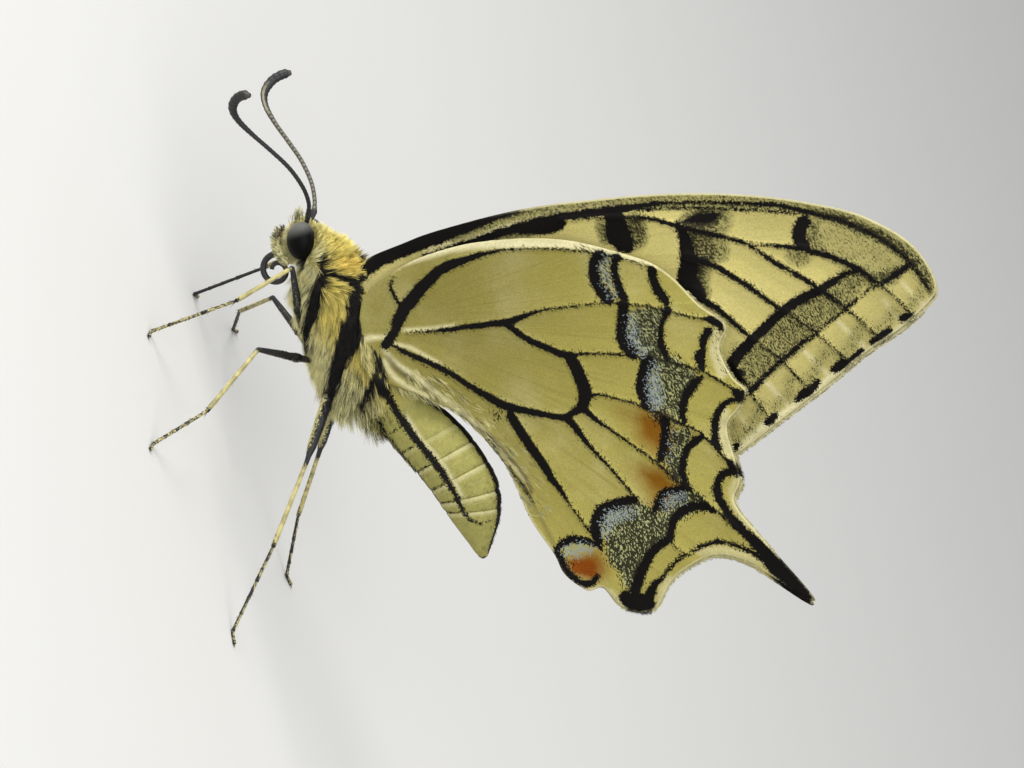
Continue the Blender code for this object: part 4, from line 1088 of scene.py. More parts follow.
def body_skin():
    """The head and trunk in one closed skin, drawn in by the depth of the coat."""
    frames = []
    for top_along, top_height, low_along, low_height, half_width in smooth_curve(TRUNK_RIBS, RIB_STEPS):
        share = min(max((top_along - THORAX_END + 2) / 2.5, 0.0), 1.0)
        depth = THORAX_COAT + (ABDOMEN_COAT - THORAX_COAT) * share
        top = trunk_point(top_along, top_height - depth)
        low = trunk_point(low_along, low_height + depth)
        across = Vector((0, max(half_width - depth, 0.15), 0))
        frames.append(ring_matrix((top + low) / 2, across, (top - low) / 2))
    bm = bmesh.new()
    sweep(bm, frames, TRUNK_SIDES)
    bmesh.ops.create_uvsphere(bm, u_segments=40, v_segments=24, radius=1.0,
                              matrix=head_matrix(HEAD_AT, [half - HEAD_COAT for half in HEAD_SEMI]))
    mesh = closed_mesh("trunk shell", bm)
    item = new_object("trunk shell", mesh)
    join = item.modifiers.new("join", 'REMESH')
    join.mode = 'VOXEL'
    join.voxel_size = SKIN_VOXEL * MM
    result = bpy.data.meshes.new_from_object(item.evaluated_get(bpy.context.evaluated_depsgraph_get()))
    bpy.data.objects.remove(item)
    bpy.data.meshes.remove(mesh)
    bm = bmesh.new()
    bm.from_mesh(result)
    smooth(bm, bm.verts, 3)
    bm.to_mesh(result)
    bm.free()
    return result


def head_matrix(centre, semi):
    """Matrix that lays the unit ball on an ellipsoid turned with the head."""
    turn = Matrix.Rotation(-math.radians(HEAD_PITCH), 4, 'Y')
    return Matrix.Translation(centre) @ turn @ Matrix.Diagonal((*semi, 1.0))


def out_of_middle(points, centre, semi):
    """How far points lie from the middle of an ellipsoid turned with the head; its surface is at 1."""
    turned = np.array(head_matrix(centre, semi).inverted())
    return np.linalg.norm(points @ turned[:3, :3].T + turned[:3, 3], axis=1)


def eye_centre(side):
    """Middle of the eye on one side."""
    return EYE_AT[0], side * EYE_AT[1], EYE_AT[2]


def body_finish():
    """Skin and flat scales of the trunk, in the same pattern as the hair."""
    colours = bpy.context.scene.butterfly_colours
    finish = Finish("body skin", 0.65)
    first, second, third, middle = finish.cells(0.00009)
    along, joint = finish.note("along"), finish.note("joint")
    firm = finish.step(along, 14.2, 17.0)
    surface = finish.mix(finish.step(along, 11.0, 13.0), colours.yellow * 0.6, colours.abdomen)
    pale = finish.step(joint, 0.04, 0.12) * finish.step(joint, 0.55, 0.15) * firm * 0.5
    pale = finish.math('MAXIMUM', pale, finish.note("pale") * 0.75)
    surface = finish.mix(pale, surface, colours.pale)
    surface = finish.mix(finish.note("gold") * 0.8, surface, colours.gold)
    surface = finish.shade(surface, second * 0.18 + finish.noise(0.0006, 3.0) * 0.5 + 0.66)
    groove = finish.step(finish.math('ABSOLUTE', joint), 0.055, 0.01) * firm * 0.5
    edge = finish.note("dark") + (third - 0.5) * 0.22
    dark = finish.math('MAXIMUM', 1.0 - finish.step(edge, -0.04, 0.04), groove)
    finish.paint(finish.mix(dark, surface, colours.soot))
    finish.set(Specular_IOR_Level=0.15)
    finish.bump(middle + first * 0.6, 0.00003, 0.6)
    return finish.material


class BUTTERFLY_OT_body(bpy.types.Operator):
    """Build the skin of the head, thorax and abdomen"""
    bl_idname = "butterfly.body"
    bl_label = "Body skin"

    def execute(self, context):
        mesh = body_skin()
        points = place_of(mesh)
        marks = body_marks(points)
        along = marks["along"]
        depth = JOINT_GROOVE * np.exp(-(marks["joint"] / 0.13) ** 2) * ((along - 13.5) / 3.0).clip(0, 1)
        centre = marks["height"] - np.interp(along, (12, 24.5), (0.3, 0.0))
        outward = unit(np.stack([-math.sin(TRUNK_PITCH) * centre, points[:, 1],
                                 math.cos(TRUNK_PITCH) * centre], axis=1))
        grooved = (points - outward * depth[:, None]) * MM
        mesh.vertices.foreach_set("co", grooved.astype(np.float32).ravel())
        note(mesh, **{key: values.clip(-9, 30) for key, values in marks.items()})
        add_piece("body_skin", mesh, body_finish(), "body_hair",
                  ("head", "thorax", "abdomen_base", "abdomen_middle", "abdomen_tip"))
        return {'FINISHED'}


# ---- head parts

def eye_finish():
    """Dark lens field with fine facets, and a painted highlight towards the front: a grey painted reflection
    of the sky.
    """
    finish = Finish("compound eye", 0.40)
    facets = finish.cells(0.00003)[3]
    deep = bpy.context.scene.butterfly_colours.eye
    surface = finish.mix(finish.noise(0.0008, 2.0), deep, deep * 1.3)
    # Painted highlight: towards the front the eye turns grey, a painted reflection of the sky.
    finish.paint(finish.mix(finish.step(finish.note("highlight_reach"), 0.12, 0.98), surface, (0.145, 0.145, 0.13)))
    finish.set(Specular_IOR_Level=0.07)
    finish.bump(facets, 0.000004, 0.5)
    return finish.material


class BUTTERFLY_OT_eyes(bpy.types.Operator):
    """Build the two domed eyes"""
    bl_idname = "butterfly.eyes"
    bl_label = "Eyes"

    def execute(self, context):
        finish = eye_finish()
        for side, word in SIDES.items():
            bm = bmesh.new()
            centre = eye_centre(side)
            bmesh.ops.create_uvsphere(bm, u_segments=64, v_segments=40, radius=1.0,
                                      matrix=head_matrix(centre, [EYE_SWELL * half for half in EYE_SEMI]))
            for vert in bm.verts:
                egg = 1 + 0.08 * (centre[0] - vert.co.x) / EYE_SEMI[0]
                vert.co.y = centre[1] + (vert.co.y - centre[1]) * egg
                vert.co.z = centre[2] + (vert.co.z - centre[2]) * egg
            mesh = closed_mesh("eye", bm)
            # How far towards the front each point lies, which places the painted highlight.
            note(mesh, highlight_reach=(centre[0] - place_of(mesh)[:, 0]) / EYE_SEMI[0])
            add_piece("eye_" + word + "_dome", mesh, finish, "eye_gloss", ("eye_" + word,))
        return {'FINISHED'}


def proboscis_finish():
    """Ringed dark tongue."""
    finish = Finish("proboscis cuticle", 0.42)
    horn = bpy.context.scene.butterfly_colours.horn
    wear = finish.step(finish.noise(0.0004, 3.0), 0.45, 0.7)
    finish.paint(finish.mix(wear, horn, (0.045, 0.030, 0.018)))
    finish.bump(finish.noise(0.00008, 2.0), 0.00001, 0.5)
    return finish.material


class BUTTERFLY_OT_mouth(bpy.types.Operator):
    """Build the coiled proboscis and the two palps"""
    bl_idname = "butterfly.mouth"
    bl_label = "Proboscis and palps"

    def execute(self, context):
        frames = []
        for step in range(COIL_STEPS + 1):
            share = step / COIL_STEPS
            angle = math.radians(COIL_START + 360.0 * COIL_TURNS * share)
            outward = Vector((math.cos(angle), 0, math.sin(angle)))
            reach = COIL_REACH[0] + (COIL_REACH[1] - COIL_REACH[0]) * share
            thick = COIL_RADII[0] + (COIL_RADII[1] - COIL_RADII[0]) * share
            thick *= 1.0 + 0.035 * math.cos(2 * math.pi * share * COIL_RINGS)
            frames.append(ring_matrix(Vector((COIL_AT[0], 0, COIL_AT[1])) + outward * reach,
                                      Vector((0, thick, 0)), outward * thick))
        bm = bmesh.new()
        sweep(bm, frames, 16)
        add_piece("proboscis_coil", closed_mesh("proboscis", bm), proboscis_finish(), "antenna_cuticle",
                  ("proboscis",))
        finish = palp_finish()
        for side, word in SIDES.items():
            points = [(x, side * spread, z) for x, spread, z in PALP_POINTS]
            radii = smooth_curve([(radius,) for radius in PALP_RADII], 5)[:, 0]
            bm = bmesh.new()
            tube(bm, smooth_curve(points, 5), radii, 14)
            mesh = closed_mesh("palp", bm)
            low, high = PALP_POINTS[0][0], PALP_POINTS[-1][0]
            note(mesh, share=(place_of(mesh)[:, 0] - low) / (high - low))
            add_piece("palp_" + word + "_skin", mesh, finish, "body_hair", ("palp_" + word,))
        return {'FINISHED'}


def palp_finish():
    """Pale scales of the palps."""
    finish = Finish("palp scales", 0.6)
    first, middle = finish.cells(0.0001)[::3]
    cream = bpy.context.scene.butterfly_colours.cream
    surface = finish.mix(first < 0.25, cream, (0.05, 0.045, 0.03))
    finish.paint(finish.mix(finish.step(finish.note("share"), 0.55, 0.85), surface, (0.10, 0.045, 0.025)))
    finish.bump(middle, 0.00002, 0.6)
    return finish.material


# ---- feelers

def feeler_course(side):
    """Middle line of a feeler in millimetres, evenly spaced."""
    forward, upward, sag = FEELER_LEAN[side]
    last = len(FEELER_POINTS) - 1
    points = []
    for index, (x, spread, z) in enumerate(FEELER_POINTS):
        lean = (index / last) ** 1.5
        droop = sag * math.sin(math.pi * index / last)
        points.append((x + forward * lean, side * spread, z + upward * lean - droop))
    return resample(smooth_curve(points, 8), FEELER_RINGS * 4 + 1)


def feeler_finish():
    """Black cuticle, pale and ringed along the inner side of the shaft."""
    colours = bpy.context.scene.butterfly_colours
    finish = Finish("feeler cuticle", 0.48)
    share, inner = finish.note("share"), finish.note("inner")
    band = finish.step(finish.math('FRACT', share * float(FEELER_RINGS)), 0.30, 0.45)
    speck = finish.cells(0.00006)[0]
    pale = band * finish.step(share, 0.80, 0.62) * finish.step(inner, 0.05, 0.55) * (speck * 0.6 + 0.4)
    surface = finish.mix(pale * 0.27, colours.horn, colours.pale)
    stripe = finish.step(inner, 0.86, 0.95) * finish.step(share, 0.66, 0.72) * finish.step(share, 0.90, 0.80)
    surface = finish.mix(stripe * 0.42, surface, colours.pale)
    tip = finish.step(share, 0.975, 0.99)
    finish.paint(finish.mix(tip * 0.35, surface, (0.12, 0.09, 0.06)))
    finish.bump(speck, 0.00001, 0.5)
    return finish.material


class BUTTERFLY_OT_feelers(bpy.types.Operator):
    """Build the two clubbed feelers"""
    bl_idname = "butterfly.feelers"
    bl_label = "Feelers"

    def execute(self, context):
        finish = feeler_finish()
        shares, sizes = np.array(FEELER_RADII).T
        for side, word in SIDES.items():
            points = feeler_course(side)
            share = np.linspace(0, 1, len(points))
            radii = np.interp(share, shares, sizes) * (1 + 0.05 * np.cos(2 * np.pi * share * FEELER_RINGS))
            root = np.array(FEELER_ROOT) * (1, side, 1)
            bm = bmesh.new()
            tube(bm, [root, (root + points[0]) / 2, *points], [*FEELER_ROOT_RADII, *radii], 14)
            mesh = closed_mesh("feeler", bm)
            places = place_of(mesh)
            nearest = nearest_of(points, places)
            outward = unit(places - points[nearest])
            note(mesh, share=share[nearest], inner=outward @ np.array((-0.35, -side * 0.94, 0.0)))
            add_piece("antenna_" + word + "_shaft", mesh, finish, "antenna_cuticle", ("antenna_" + word,))
        return {'FINISHED'}


# ---- legs

def leg_course(kind, side):
    """Middle line of a leg: hip, knee, ankle, heel and toe."""
    hip, knee, ankle, toe = (Vector((x, side * spread, z)) for x, spread, z in LEG_COURSES[kind, side])
    toe.z = TARSUS_RADIUS
    run = Vector((toe.x - ankle.x, toe.y - ankle.y, 0)).normalized()
    return hip, knee, ankle, toe - run * FOOT_LENGTH, toe


def limb(bm, start, end, profile, sides=16):
    """A straight limb joint with radii given as (share of the way, radius)."""
    shares = [share for share, radius in profile]
    tube(bm, [start.lerp(end, share) for share in shares], [radius for share, radius in profile], sides)


def thorn(bm, root, tip, radius):
    """A slim pointed spine."""
    heading = tip - root
    turn = heading.to_track_quat('Z', 'Y').to_matrix().to_4x4()
    bmesh.ops.create_cone(bm, cap_ends=True, segments=5, radius1=radius, radius2=0.0, depth=heading.length,
                          matrix=Matrix.Translation((root + tip) / 2) @ turn)


def leg_mesh(kind, side):
    """A leg with its thigh, shin, five foot joints, claws and spines."""
    hip, knee, ankle, heel, toe = leg_course(kind, side)
    femur, tibia, foot = FEMUR_RADIUS[kind], TIBIA_RADIUS, TARSUS_RADIUS
    bm = bmesh.new()
    limb(bm, hip, knee, ((0.0, femur * 0.8), (0.15, femur), (0.5, femur * 1.05), (0.8, femur * 0.9),
                         (0.93, tibia * 1.25), (1.0, tibia * 1.1), (1.01, tibia * 0.6)))
    limb(bm, knee, ankle, ((-0.02, tibia * 0.6), (0.0, tibia * 1.1), (0.08, tibia), (0.5, tibia * 1.05),
                           (0.92, tibia * 1.15), (1.0, tibia)))
    tarsus = [ankle.lerp(heel, share) for share in TARSUS_SPLITS] + [toe]
    for start, end in zip(tarsus, tarsus[1:]):
        limb(bm, start, end, ((0.0, foot * 0.7), (0.08, foot * 0.95), (0.75, foot), (0.95, foot * 1.2),
                              (1.0, foot * 0.8)), 12)
    run = (toe - heel).normalized()
    across = Vector((-run.y, run.x, 0))
    shin = (ankle - knee).normalized()
    outward = shin.cross(Vector((0, 0, 1))).normalized()
    for turn in (-1, 1):
        claw = toe + run * 0.25 + across * turn * 0.16
        claw.z = 0.03
        thorn(bm, toe + across * turn * 0.04, claw, CLAW_RADIUS)
        spur = knee.lerp(ankle, 0.97)
        thorn(bm, spur, spur + shin * 0.75 + outward * turn * 0.22, CLAW_RADIUS)
    for start, end, count, radius in ((knee, ankle, SHIN_SPINES, tibia), (ankle, heel, FOOT_SPINES, foot)):
        lie = (end - start).normalized()
        for index in range(count):
            root = start.lerp(end, (index + 0.6) / count)
            turn = Matrix.Rotation(index * SPINE_TURN, 3, lie) @ outward
            tip = root + lie * 0.22 + turn * (radius + 0.16)
            tip.z = max(tip.z, 0.02)
            thorn(bm, root + turn * radius * 0.7, tip, SPINE_RADIUS)
    for vert in bm.verts:
        vert.co.z = max(0.0, vert.co.z)
    return closed_mesh(kind, bm)


def leg_finish():
    """Thighs dark with a pale side, shins and feet pale and specked."""
    colours = bpy.context.scene.butterfly_colours
    finish = Finish("leg scales", 0.5)
    first, middle = finish.cells(0.00009)[::3]
    patch = finish.step(finish.noise(0.0006, 3.0), 0.35, 0.7)
    straw = finish.mix(patch, colours.straw, colours.straw * 0.5)
    dark = finish.step(finish.note("dark") + (first - 0.5) * 0.5, 0.42, 0.58)
    finish.paint(finish.mix(dark, straw, colours.horn))
    finish.set(Specular_IOR_Level=0.4)
    finish.bump(middle, 0.00002, 0.5)
    return finish.material


def leg_dark(kind, side, places):
    """How dark each place of a leg is, from 0 to 1."""
    hip, knee, ankle, heel, toe = (np.array(point) for point in leg_course(kind, side))
    result = np.zeros(len(places))
    nearest = np.full(len(places), np.inf)
    for start, end, stretch in ((hip, knee, "femur"), (knee, ankle, "tibia"), (ankle, heel, "tarsus"),
                                (heel, toe, "tarsus")):
        run = end - start
        share = ((places - start) @ run / (run @ run)).clip(0, 1)
        off = places - start - share[:, None] * run
        lie = run / np.linalg.norm(run)
        upper = np.cross(np.cross(lie, (0.0, 0.0, 1.0)), lie)
        rise = unit(off) @ unit(upper[None])[0]
        if stretch == "femur":
            shade = np.where(share > 0.9, 1.0, 0.5 + 0.5 * rise)
            shade = np.maximum(shade, 0.0 if kind == "leg_hind" else 0.72)
        elif stretch == "tibia":
            shade = np.where((share < 0.06) | (share > 0.96), 0.9, 0.22 - 0.20 * rise)
        else:
            shade = 0.66 - 0.26 * rise + 0.3 * (np.modf(share * 5)[0] > 0.85)
        far = np.linalg.norm(off, axis=1)
        result = np.where(far < nearest, shade, result)
        nearest = np.minimum(far, nearest)
    return result.clip(0, 1)


class BUTTERFLY_OT_legs(bpy.types.Operator):
    """Build the six legs"""
    bl_idname = "butterfly.legs"
    bl_label = "Legs"

    def execute(self, context):
        finish = leg_finish()
        for kind, side in LEG_COURSES:
            mesh = leg_mesh(kind, side)
            note(mesh, dark=leg_dark(kind, side, place_of(mesh)))
            name = kind + "_" + SIDES[side]
            add_piece(name + "_limb", mesh, finish, "leg_cuticle", (name,))
        return {'FINISHED'}


# ---- coat

def hair_blade():
    """One hair along +Z: its points (across, forward, share) and its triangles."""
    bm = bmesh.new()
    bmesh.ops.create_cone(bm, cap_ends=True, segments=3, radius1=1.0, radius2=0.12, depth=1.0,
                          matrix=Matrix.Translation((0, 0, 0.5)))
    for level in (0.35, 0.7):
        bmesh.ops.bisect_plane(bm, geom=[*bm.verts, *bm.edges, *bm.faces], dist=1e-6,
                               plane_co=(0, 0, level), plane_no=(0, 0, 1))
    bmesh.ops.triangulate(bm, faces=bm.faces)
    bmesh.ops.recalc_face_normals(bm, faces=bm.faces)
    points = np.array([tuple(vert.co) for vert in bm.verts])
    triangles = np.array([[vert.index for vert in face.verts] for face in bm.faces])
    bm.free()
    return points, triangles


def scatter(mesh, count, chance):
    """Places spread over a mesh by area, with the normal at each."""
    mesh.calc_loop_triangles()
    points = place_of(mesh)
    corners = values_of(mesh.loop_triangles, "vertices", 3, np.int32)
    normals = values_of(mesh.vertex_normals, "vector", 3)
    first, second, third = (points[corners[:, index]] for index in range(3))
    area = np.linalg.norm(np.cross(second - first, third - first), axis=1)
    picked = chance.choice(len(area), count, p=area / area.sum())
    share = chance.random((count, 2))
    share = np.where(share.sum(axis=1)[:, None] > 1, 1 - share, share)
    weights = np.stack([1 - share.sum(axis=1), share[:, 0], share[:, 1]], axis=1)
    where = np.einsum('nk,nkj->nj', weights, points[corners[picked]])
    facing = np.einsum('nk,nkj->nj', weights, normals[corners[picked]])
    return where, unit(facing)


def hair_lie(points):
    """Direction, length and lift of the hair at each place, blended from the table."""
    along, height = trunk_place(points)
    here = np.stack([along, np.abs(points[:, 1]), height], axis=1)
    table = np.array(HAIR_LIE)
    away = ((here[:, None, :] - table[None, :, :3]) ** 2).sum(axis=2)
    share = 1.0 / (away + 0.12) ** 2
    share /= share.sum(axis=1)[:, None]
    lie = share @ table[:, 3:6]
    lie[:, 1] *= np.sign(points[:, 1])
    return unit(lie), share @ table[:, 6], share @ table[:, 7]


def rows_at(values, rows):
    """The chosen rows of every array."""
    return {key: value[rows] for key, value in values.items()}


def hair_mesh(name, roots, chance, width, gather=0.5):
    """One joined mesh of hairs that bend from their normal into their lie, gathered in small locks."""
    point, normal, count = roots["point"], roots["normal"], len(roots["point"])
    length = (roots["length"] * chance.uniform(0.65, 1.2, count))[:, None]
    lie = unit(roots["lie"] + chance.normal(0, HAIR_STRAY, (count, 3)))
    inward = (lie * normal).sum(axis=1)
    lie -= normal * np.minimum(inward + 0.05, 0)[:, None]
    rise = normal * roots["lift"][:, None]
    base = point - normal * ROOT_DEPTH
    knee = base + (rise + lie * 0.4) * length * 0.5
    tip = base + (lie * 0.95 + rise * 0.35) * length
    centres = chance.choice(count, max(count // LOCK_HAIRS, 1), replace=False)
    lead = centres[nearest_of(point[centres], point)]
    tip += (tip[lead] - tip) * gather
    knee += (knee[lead] - knee) * gather * 0.4
    # Points of every hair: the blade's outline laid along a curve from base past knee to tip
    blade, triangles = hair_blade()
    share = blade[:, 2]
    path = (base[:, None] * ((1 - share) ** 2)[None, :, None]
            + knee[:, None] * (2 * share * (1 - share))[None, :, None]
            + tip[:, None] * (share ** 2)[None, :, None])
    run = unit(tip - base)
    across = unit(np.cross(run, normal))
    upward = np.cross(across, run)
    size = (width * chance.uniform(0.7, 1.2, count))[:, None, None]
    section = across[:, None] * blade[None, :, :1] + upward[:, None] * blade[None, :, 1:2] * 0.7
    points = path + size * section
    corners = (triangles[None] + (np.arange(count) * len(blade))[:, None, None]).reshape(-1)
    mesh = bpy.data.meshes.new(name)
    mesh.vertices.add(count * len(blade))
    mesh.vertices.foreach_set("co", (points.reshape(-1, 3) * MM).astype(np.float32).ravel())
    mesh.loops.add(len(corners))
    mesh.loops.foreach_set("vertex_index", corners.astype(np.int32))
    mesh.polygons.add(len(corners) // 3)
    mesh.polygons.foreach_set("loop_start", np.arange(0, len(corners), 3, dtype=np.int32))
    mesh.update(calc_edges=True)
    # A small patch of the bake's map for every hair, at its root's place
    around = np.arctan2(point[:, 1], roots["height"]) / (2 * np.pi) + 0.5
    unrolled = np.stack([around, (roots["along"] + UNROLL_FROM) / (TRUNK_LENGTH + 2 * UNROLL_FROM)], axis=1)
    spot = roots.get("spot", unrolled).clip(0.0, 0.996)
    patch = np.stack([blade[:, 0] * 0.5 + 0.5, share], axis=1) * BAKE_PATCH
    flat = (spot[:, None] + patch[None]).reshape(-1, 2)[corners]
    mesh.uv_layers.new(name="OFBake").data.foreach_set("uv", flat.astype(np.float32).ravel())
    tone = 0.6 * chance.random(count)[lead] + 0.4 * chance.random(count)
    for key in ("dark", "gold", "tint"):
        note(mesh, **{key: np.repeat(roots[key].clip(-9, 9), len(blade))})
    note(mesh, tone=np.repeat(tone, len(blade)), tip=np.tile(share, count))
    return mesh


def coat_finish():
    """Hair in the same pattern as the skin, with painted shade towards the roots and painted light towards
    the paler tips.
    """
    colours = bpy.context.scene.butterfly_colours
    finish = Finish("coat hair", 0.55)
    tint, tone = finish.note("tint"), finish.note("tone")
    surface = finish.mix(tint, colours.yellow, colours.cream)
    surface = finish.mix(finish.note("gold"), surface, colours.gold)
    surface = finish.mix(finish.step(tint, 1.0, 2.0), surface, colours.abdomen * 1.1)
    # Painted shade and light: each hair is darkened towards its root, deep in the coat, and lightened towards
    # its tip.
    surface = finish.shade(surface, (tone * 0.9 + 0.55) * (finish.note("tip") * 0.95 + 0.40))
    edge = finish.note("dark") + (tone - 0.5) * 0.34
    finish.paint(finish.mix(1.0 - finish.step(edge, -0.03, 0.03), surface, colours.soot))
    finish.set(Specular_IOR_Level=0.35)
    finish.bump(finish.noise(0.00008, 1.0), 0.000004, 0.4)
    return finish.material


def in_head(points):
    """Whether each point belongs to the head."""
    return out_of_middle(points, HEAD_AT, HEAD_SEMI) < HEAD_SHARE


def coat_regions(roots):
    """Which coat piece each root belongs to, by name."""
    along, height, aside = roots["along"], roots["height"], roots["point"][:, 1]
    head = in_head(roots["point"]) & (along < 0.6)
    rear = along > 11.0
    belly = ~head & ~rear & (height < np.interp(along, (0, 4, 9, 11), (-1.3, -2.6, -3.0, -2.6)))
    trunk = ~head & ~rear & ~belly
    flank = trunk & (along >= 2.9)
    return {"head": head, "collar": trunk & (along < 2.9), "thorax_left": flank & (aside < 0),
            "thorax_right": flank & (aside >= 0), "belly": belly, "abdomen": rear}


def dressed(point, normal, lie, length, lift, dark=None, tint=0.6):
    """Roots of hair, in the body's pattern at their places, or with chosen ones dark."""
    ones = np.ones(len(point))
    marks = body_marks(point + lie * (length * ones)[:, None] * HAIR_SHIFT)
    roots = {key: marks[key] for key in ("dark", "gold", "along", "height")}
    if dark is not None:
        roots["dark"] = np.where(dark, -1.0, 1.0)
    return {**roots, "point": point, "normal": normal, "lie": lie, "length": length * ones,
            "lift": lift * ones, "tint": tint * ones}


def scattered(name, count, chance):
    """Places spread over a piece that is already there, with the normal at each."""
    return scatter(bpy.data.objects[name].data, count, chance)


def wing_root_hair(side, chance):
    """Hair that laps from the flank over the root of a hind wing."""
    point = scattered("hindwing_" + SIDES[side] + "_scales", ROOT_CANDIDATES, chance)[0]
    along, height = trunk_place(point)
    point = point[(height < np.interp(along, *ROOT_HAIR)) & (along < ROOT_HAIR[0][-1])]
    outward = np.tile((0.0, float(side), 0.0), (len(point), 1))
    point = point + outward * 0.08
    lie, length, lift = hair_lie(point)
    return dressed(point, outward, lie, length * 0.9, lift)


def palp_hair(word, chance):
    """Short spiky hair round a palp."""
    point, normal = scattered("palp_" + word + "_skin", PALP_HAIRS, chance)
    lie = unit(np.array((-0.75, 0.0, -0.55)) + 0.35 * normal)
    dark = chance.random(len(point)) < np.where(point[:, 0] < -11.4, 0.6, 0.15)
    return dressed(point, normal, lie, 0.32, 0.5, dark, 1.0)


def forelock_hair(chance):
    """A loose pale tuft on the brow, before the feelers."""
    count = FORELOCK_HAIRS
    point = np.array(FORELOCK_AT) + chance.normal(0, 1, (count, 3)) * (0.22, 0.45, 0.22)
    lie = unit(np.array((-0.9, 0.0, 0.15)) + chance.normal(0, 0.25, (count, 3)))
    normal = np.tile((-0.94, 0.0, 0.35), (count, 1))
    return dressed(point, normal, lie, 0.75, 0.5, chance.random(count) < 0.3, 1.0)


def thigh_hair(kind, side, chance):
    """A thin fringe along a thigh."""
    hip, knee = (np.array(point) for point in leg_course(kind, side)[:2])
    point, normal = scattered(kind + "_" + SIDES[side] + "_limb", THIGH_CANDIDATES, chance)
    run = knee - hip
    share = (point - hip) @ run / (run @ run)
    off = np.linalg.norm(point - hip - share[:, None] * run, axis=1)
    kept = (share > 0.15) & (share < 0.7) & (off < 0.6)
    point, normal = point[kept], normal[kept]
    lie = unit(run / np.linalg.norm(run) + 0.35 * normal)
    length = np.interp(share[kept], (0.0, 0.3, 0.7), (0.6, 0.22, 0.10))
    return dressed(point, normal, lie, length, 0.4, leg_dark(kind, side, point) > 0.55, 1.0)


def wing_hair(stem, side, area, count, direction, length, chance):
    """Hair on part of a wing, lying in its plane; direction is along the reach, then round it."""
    mesh = bpy.data.objects[stem + "_" + SIDES[side] + "_scales"].data
    wanted = np.all([(values > low) & (values < high) for values, (low, high)
                     in zip(noted(mesh, "bearing", "reach", "edge"), area)], axis=0)
    picked = chance.choice(np.flatnonzero(wanted), count)
    point = place_of(mesh)[picked] + chance.uniform(-0.07, 0.07, (count, 3)) * (1, 0, 1)
    hinge = WINGS[stem][0]
    outward = unit((point - (hinge[0], 0, hinge[1])) * (1, 0, 1))
    lie = outward * direction[0] + np.cross(outward, (0, 1, 0)) * direction[1]
    roots = dressed(point, np.tile((0.0, float(side), 0.0), (count, 1)), lie, length, 0.12, tint=1.0)
    roots["mark"] = noted(mesh, "mark")[0][picked]
    roots["spot"] = np.stack([(point[:, 0] + 25) / 50, point[:, 2] / 55], axis=1)
    return roots


class BUTTERFLY_OT_fringes(bpy.types.Operator):
    """Grow the fringes along the outer edges of the wings and the hair of their inner folds"""
    bl_idname = "butterfly.fringes"
    bl_label = "Wing fringes"

    def execute(self, context):
        chance = np.random.default_rng(FRINGE_SEED)
        finish = coat_finish()
        for stem, area in FRINGE_AREAS.items():
            for side, word in SIDES.items():
                roots = wing_hair(stem, side, area, FRINGE_HAIRS, (1.0, 0.0), FRINGE_LENGTH, chance)
                roots["dark"] = np.where((roots["mark"] < -0.05) & (stem == "hindwing"), -1.0, 1.0)
                mesh = hair_mesh(stem + "_fringe", roots, chance, 0.022, 0.0)
                add_piece(stem + "_" + word + "_fringe", mesh, finish, "wing_scales")
        for side, word in SIDES.items():
            roots = wing_hair("hindwing", side, FOLD_AREA, FOLD_HAIRS, (1.0, 0.12), FOLD_LENGTH, chance)
            roots["dark"] = np.where(chance.random(FOLD_HAIRS) < 0.2, -1.0, 1.0)
            mesh = hair_mesh("fold_hair", roots, chance, 0.024)
            add_piece("hindwing_" + word + "_fold_hair", mesh, finish, "body_hair")
        return {'FINISHED'}


class BUTTERFLY_OT_coat(bpy.types.Operator):
    """Grow the hair of the head, thorax and abdomen over the skin"""
    bl_idname = "butterfly.coat"
    bl_label = "Coat"

    def execute(self, context):
        sizes = context.scene.butterfly_sizes
        chance = np.random.default_rng(COAT_SEED)
        point, normal = scattered("body_skin", CANDIDATES, chance)
        lie, length, lift = hair_lie(point)
        roots = dressed(point, normal, lie, length, lift)
        along, height, dark = roots["along"], roots["height"], roots["dark"]
        cream = np.max([np.interp(height - np.interp(along, *CREAM_EDGE), (-0.6, 0.4), (1.0, 0.0)),
                        np.interp(height - 0.2 * along, (-3.6, -2.2), (1.0, 0.0)),
                        np.interp(along, (-1.2, 0.4), (0.6, 0.0))], axis=0)
        roots["tint"] = np.where(along > 12.4, 2.0, cream)
        loose = (along > 8.5) & (along < 13) & (height < -0.8)
        dark = np.where(loose & (chance.random(len(point)) < 0.22), -1.0, dark)
        roots["dark"] = np.where(in_head(point), np.maximum(dark, 0.5), dark)
        covered = (along > 3.6) & (along < 13) & (np.abs(point[:, 1]) > 0.5)
        covered &= height > np.interp(along, *ROOT_HAIR)
        roots["length"] = np.where(covered, 0.3 * length, length)
        # No hair grows on the eyes or over them
        clear = np.ones(len(point), bool)
        for side in SIDES:
            for share in (0.0, 0.5, 0.9):
                place = point + lie * length[:, None] * share
                clear &= out_of_middle(place, eye_centre(side), EYE_SEMI) >= EYE_SWELL
        roots = rows_at(roots, clear)
        groups = {key: rows_at(roots, np.flatnonzero(wanted)[:sizes.hair_count])
                  for key, wanted in coat_regions(roots).items()}
        for side, word in SIDES.items():
            groups["wing_root_" + word] = wing_root_hair(side, chance)
            groups["palp_" + word] = palp_hair(word, chance)
        groups["forelock"] = forelock_hair(chance)
        for kind, side in LEG_COURSES:
            groups[kind.replace("leg", "thigh") + "_" + SIDES[side]] = thigh_hair(kind, side, chance)
        finish = coat_finish()
        for key, chosen in groups.items():
            width = COAT_WIDTHS.get(key, 1.0) * sizes.hair_width / MM / 2
            mesh = hair_mesh("coat_" + key, chosen, chance, width)
            add_piece("coat_" + key, mesh, finish, "abdomen_scales" if key == "abdomen" else "body_hair")
        return {'FINISHED'}


# ---- stage

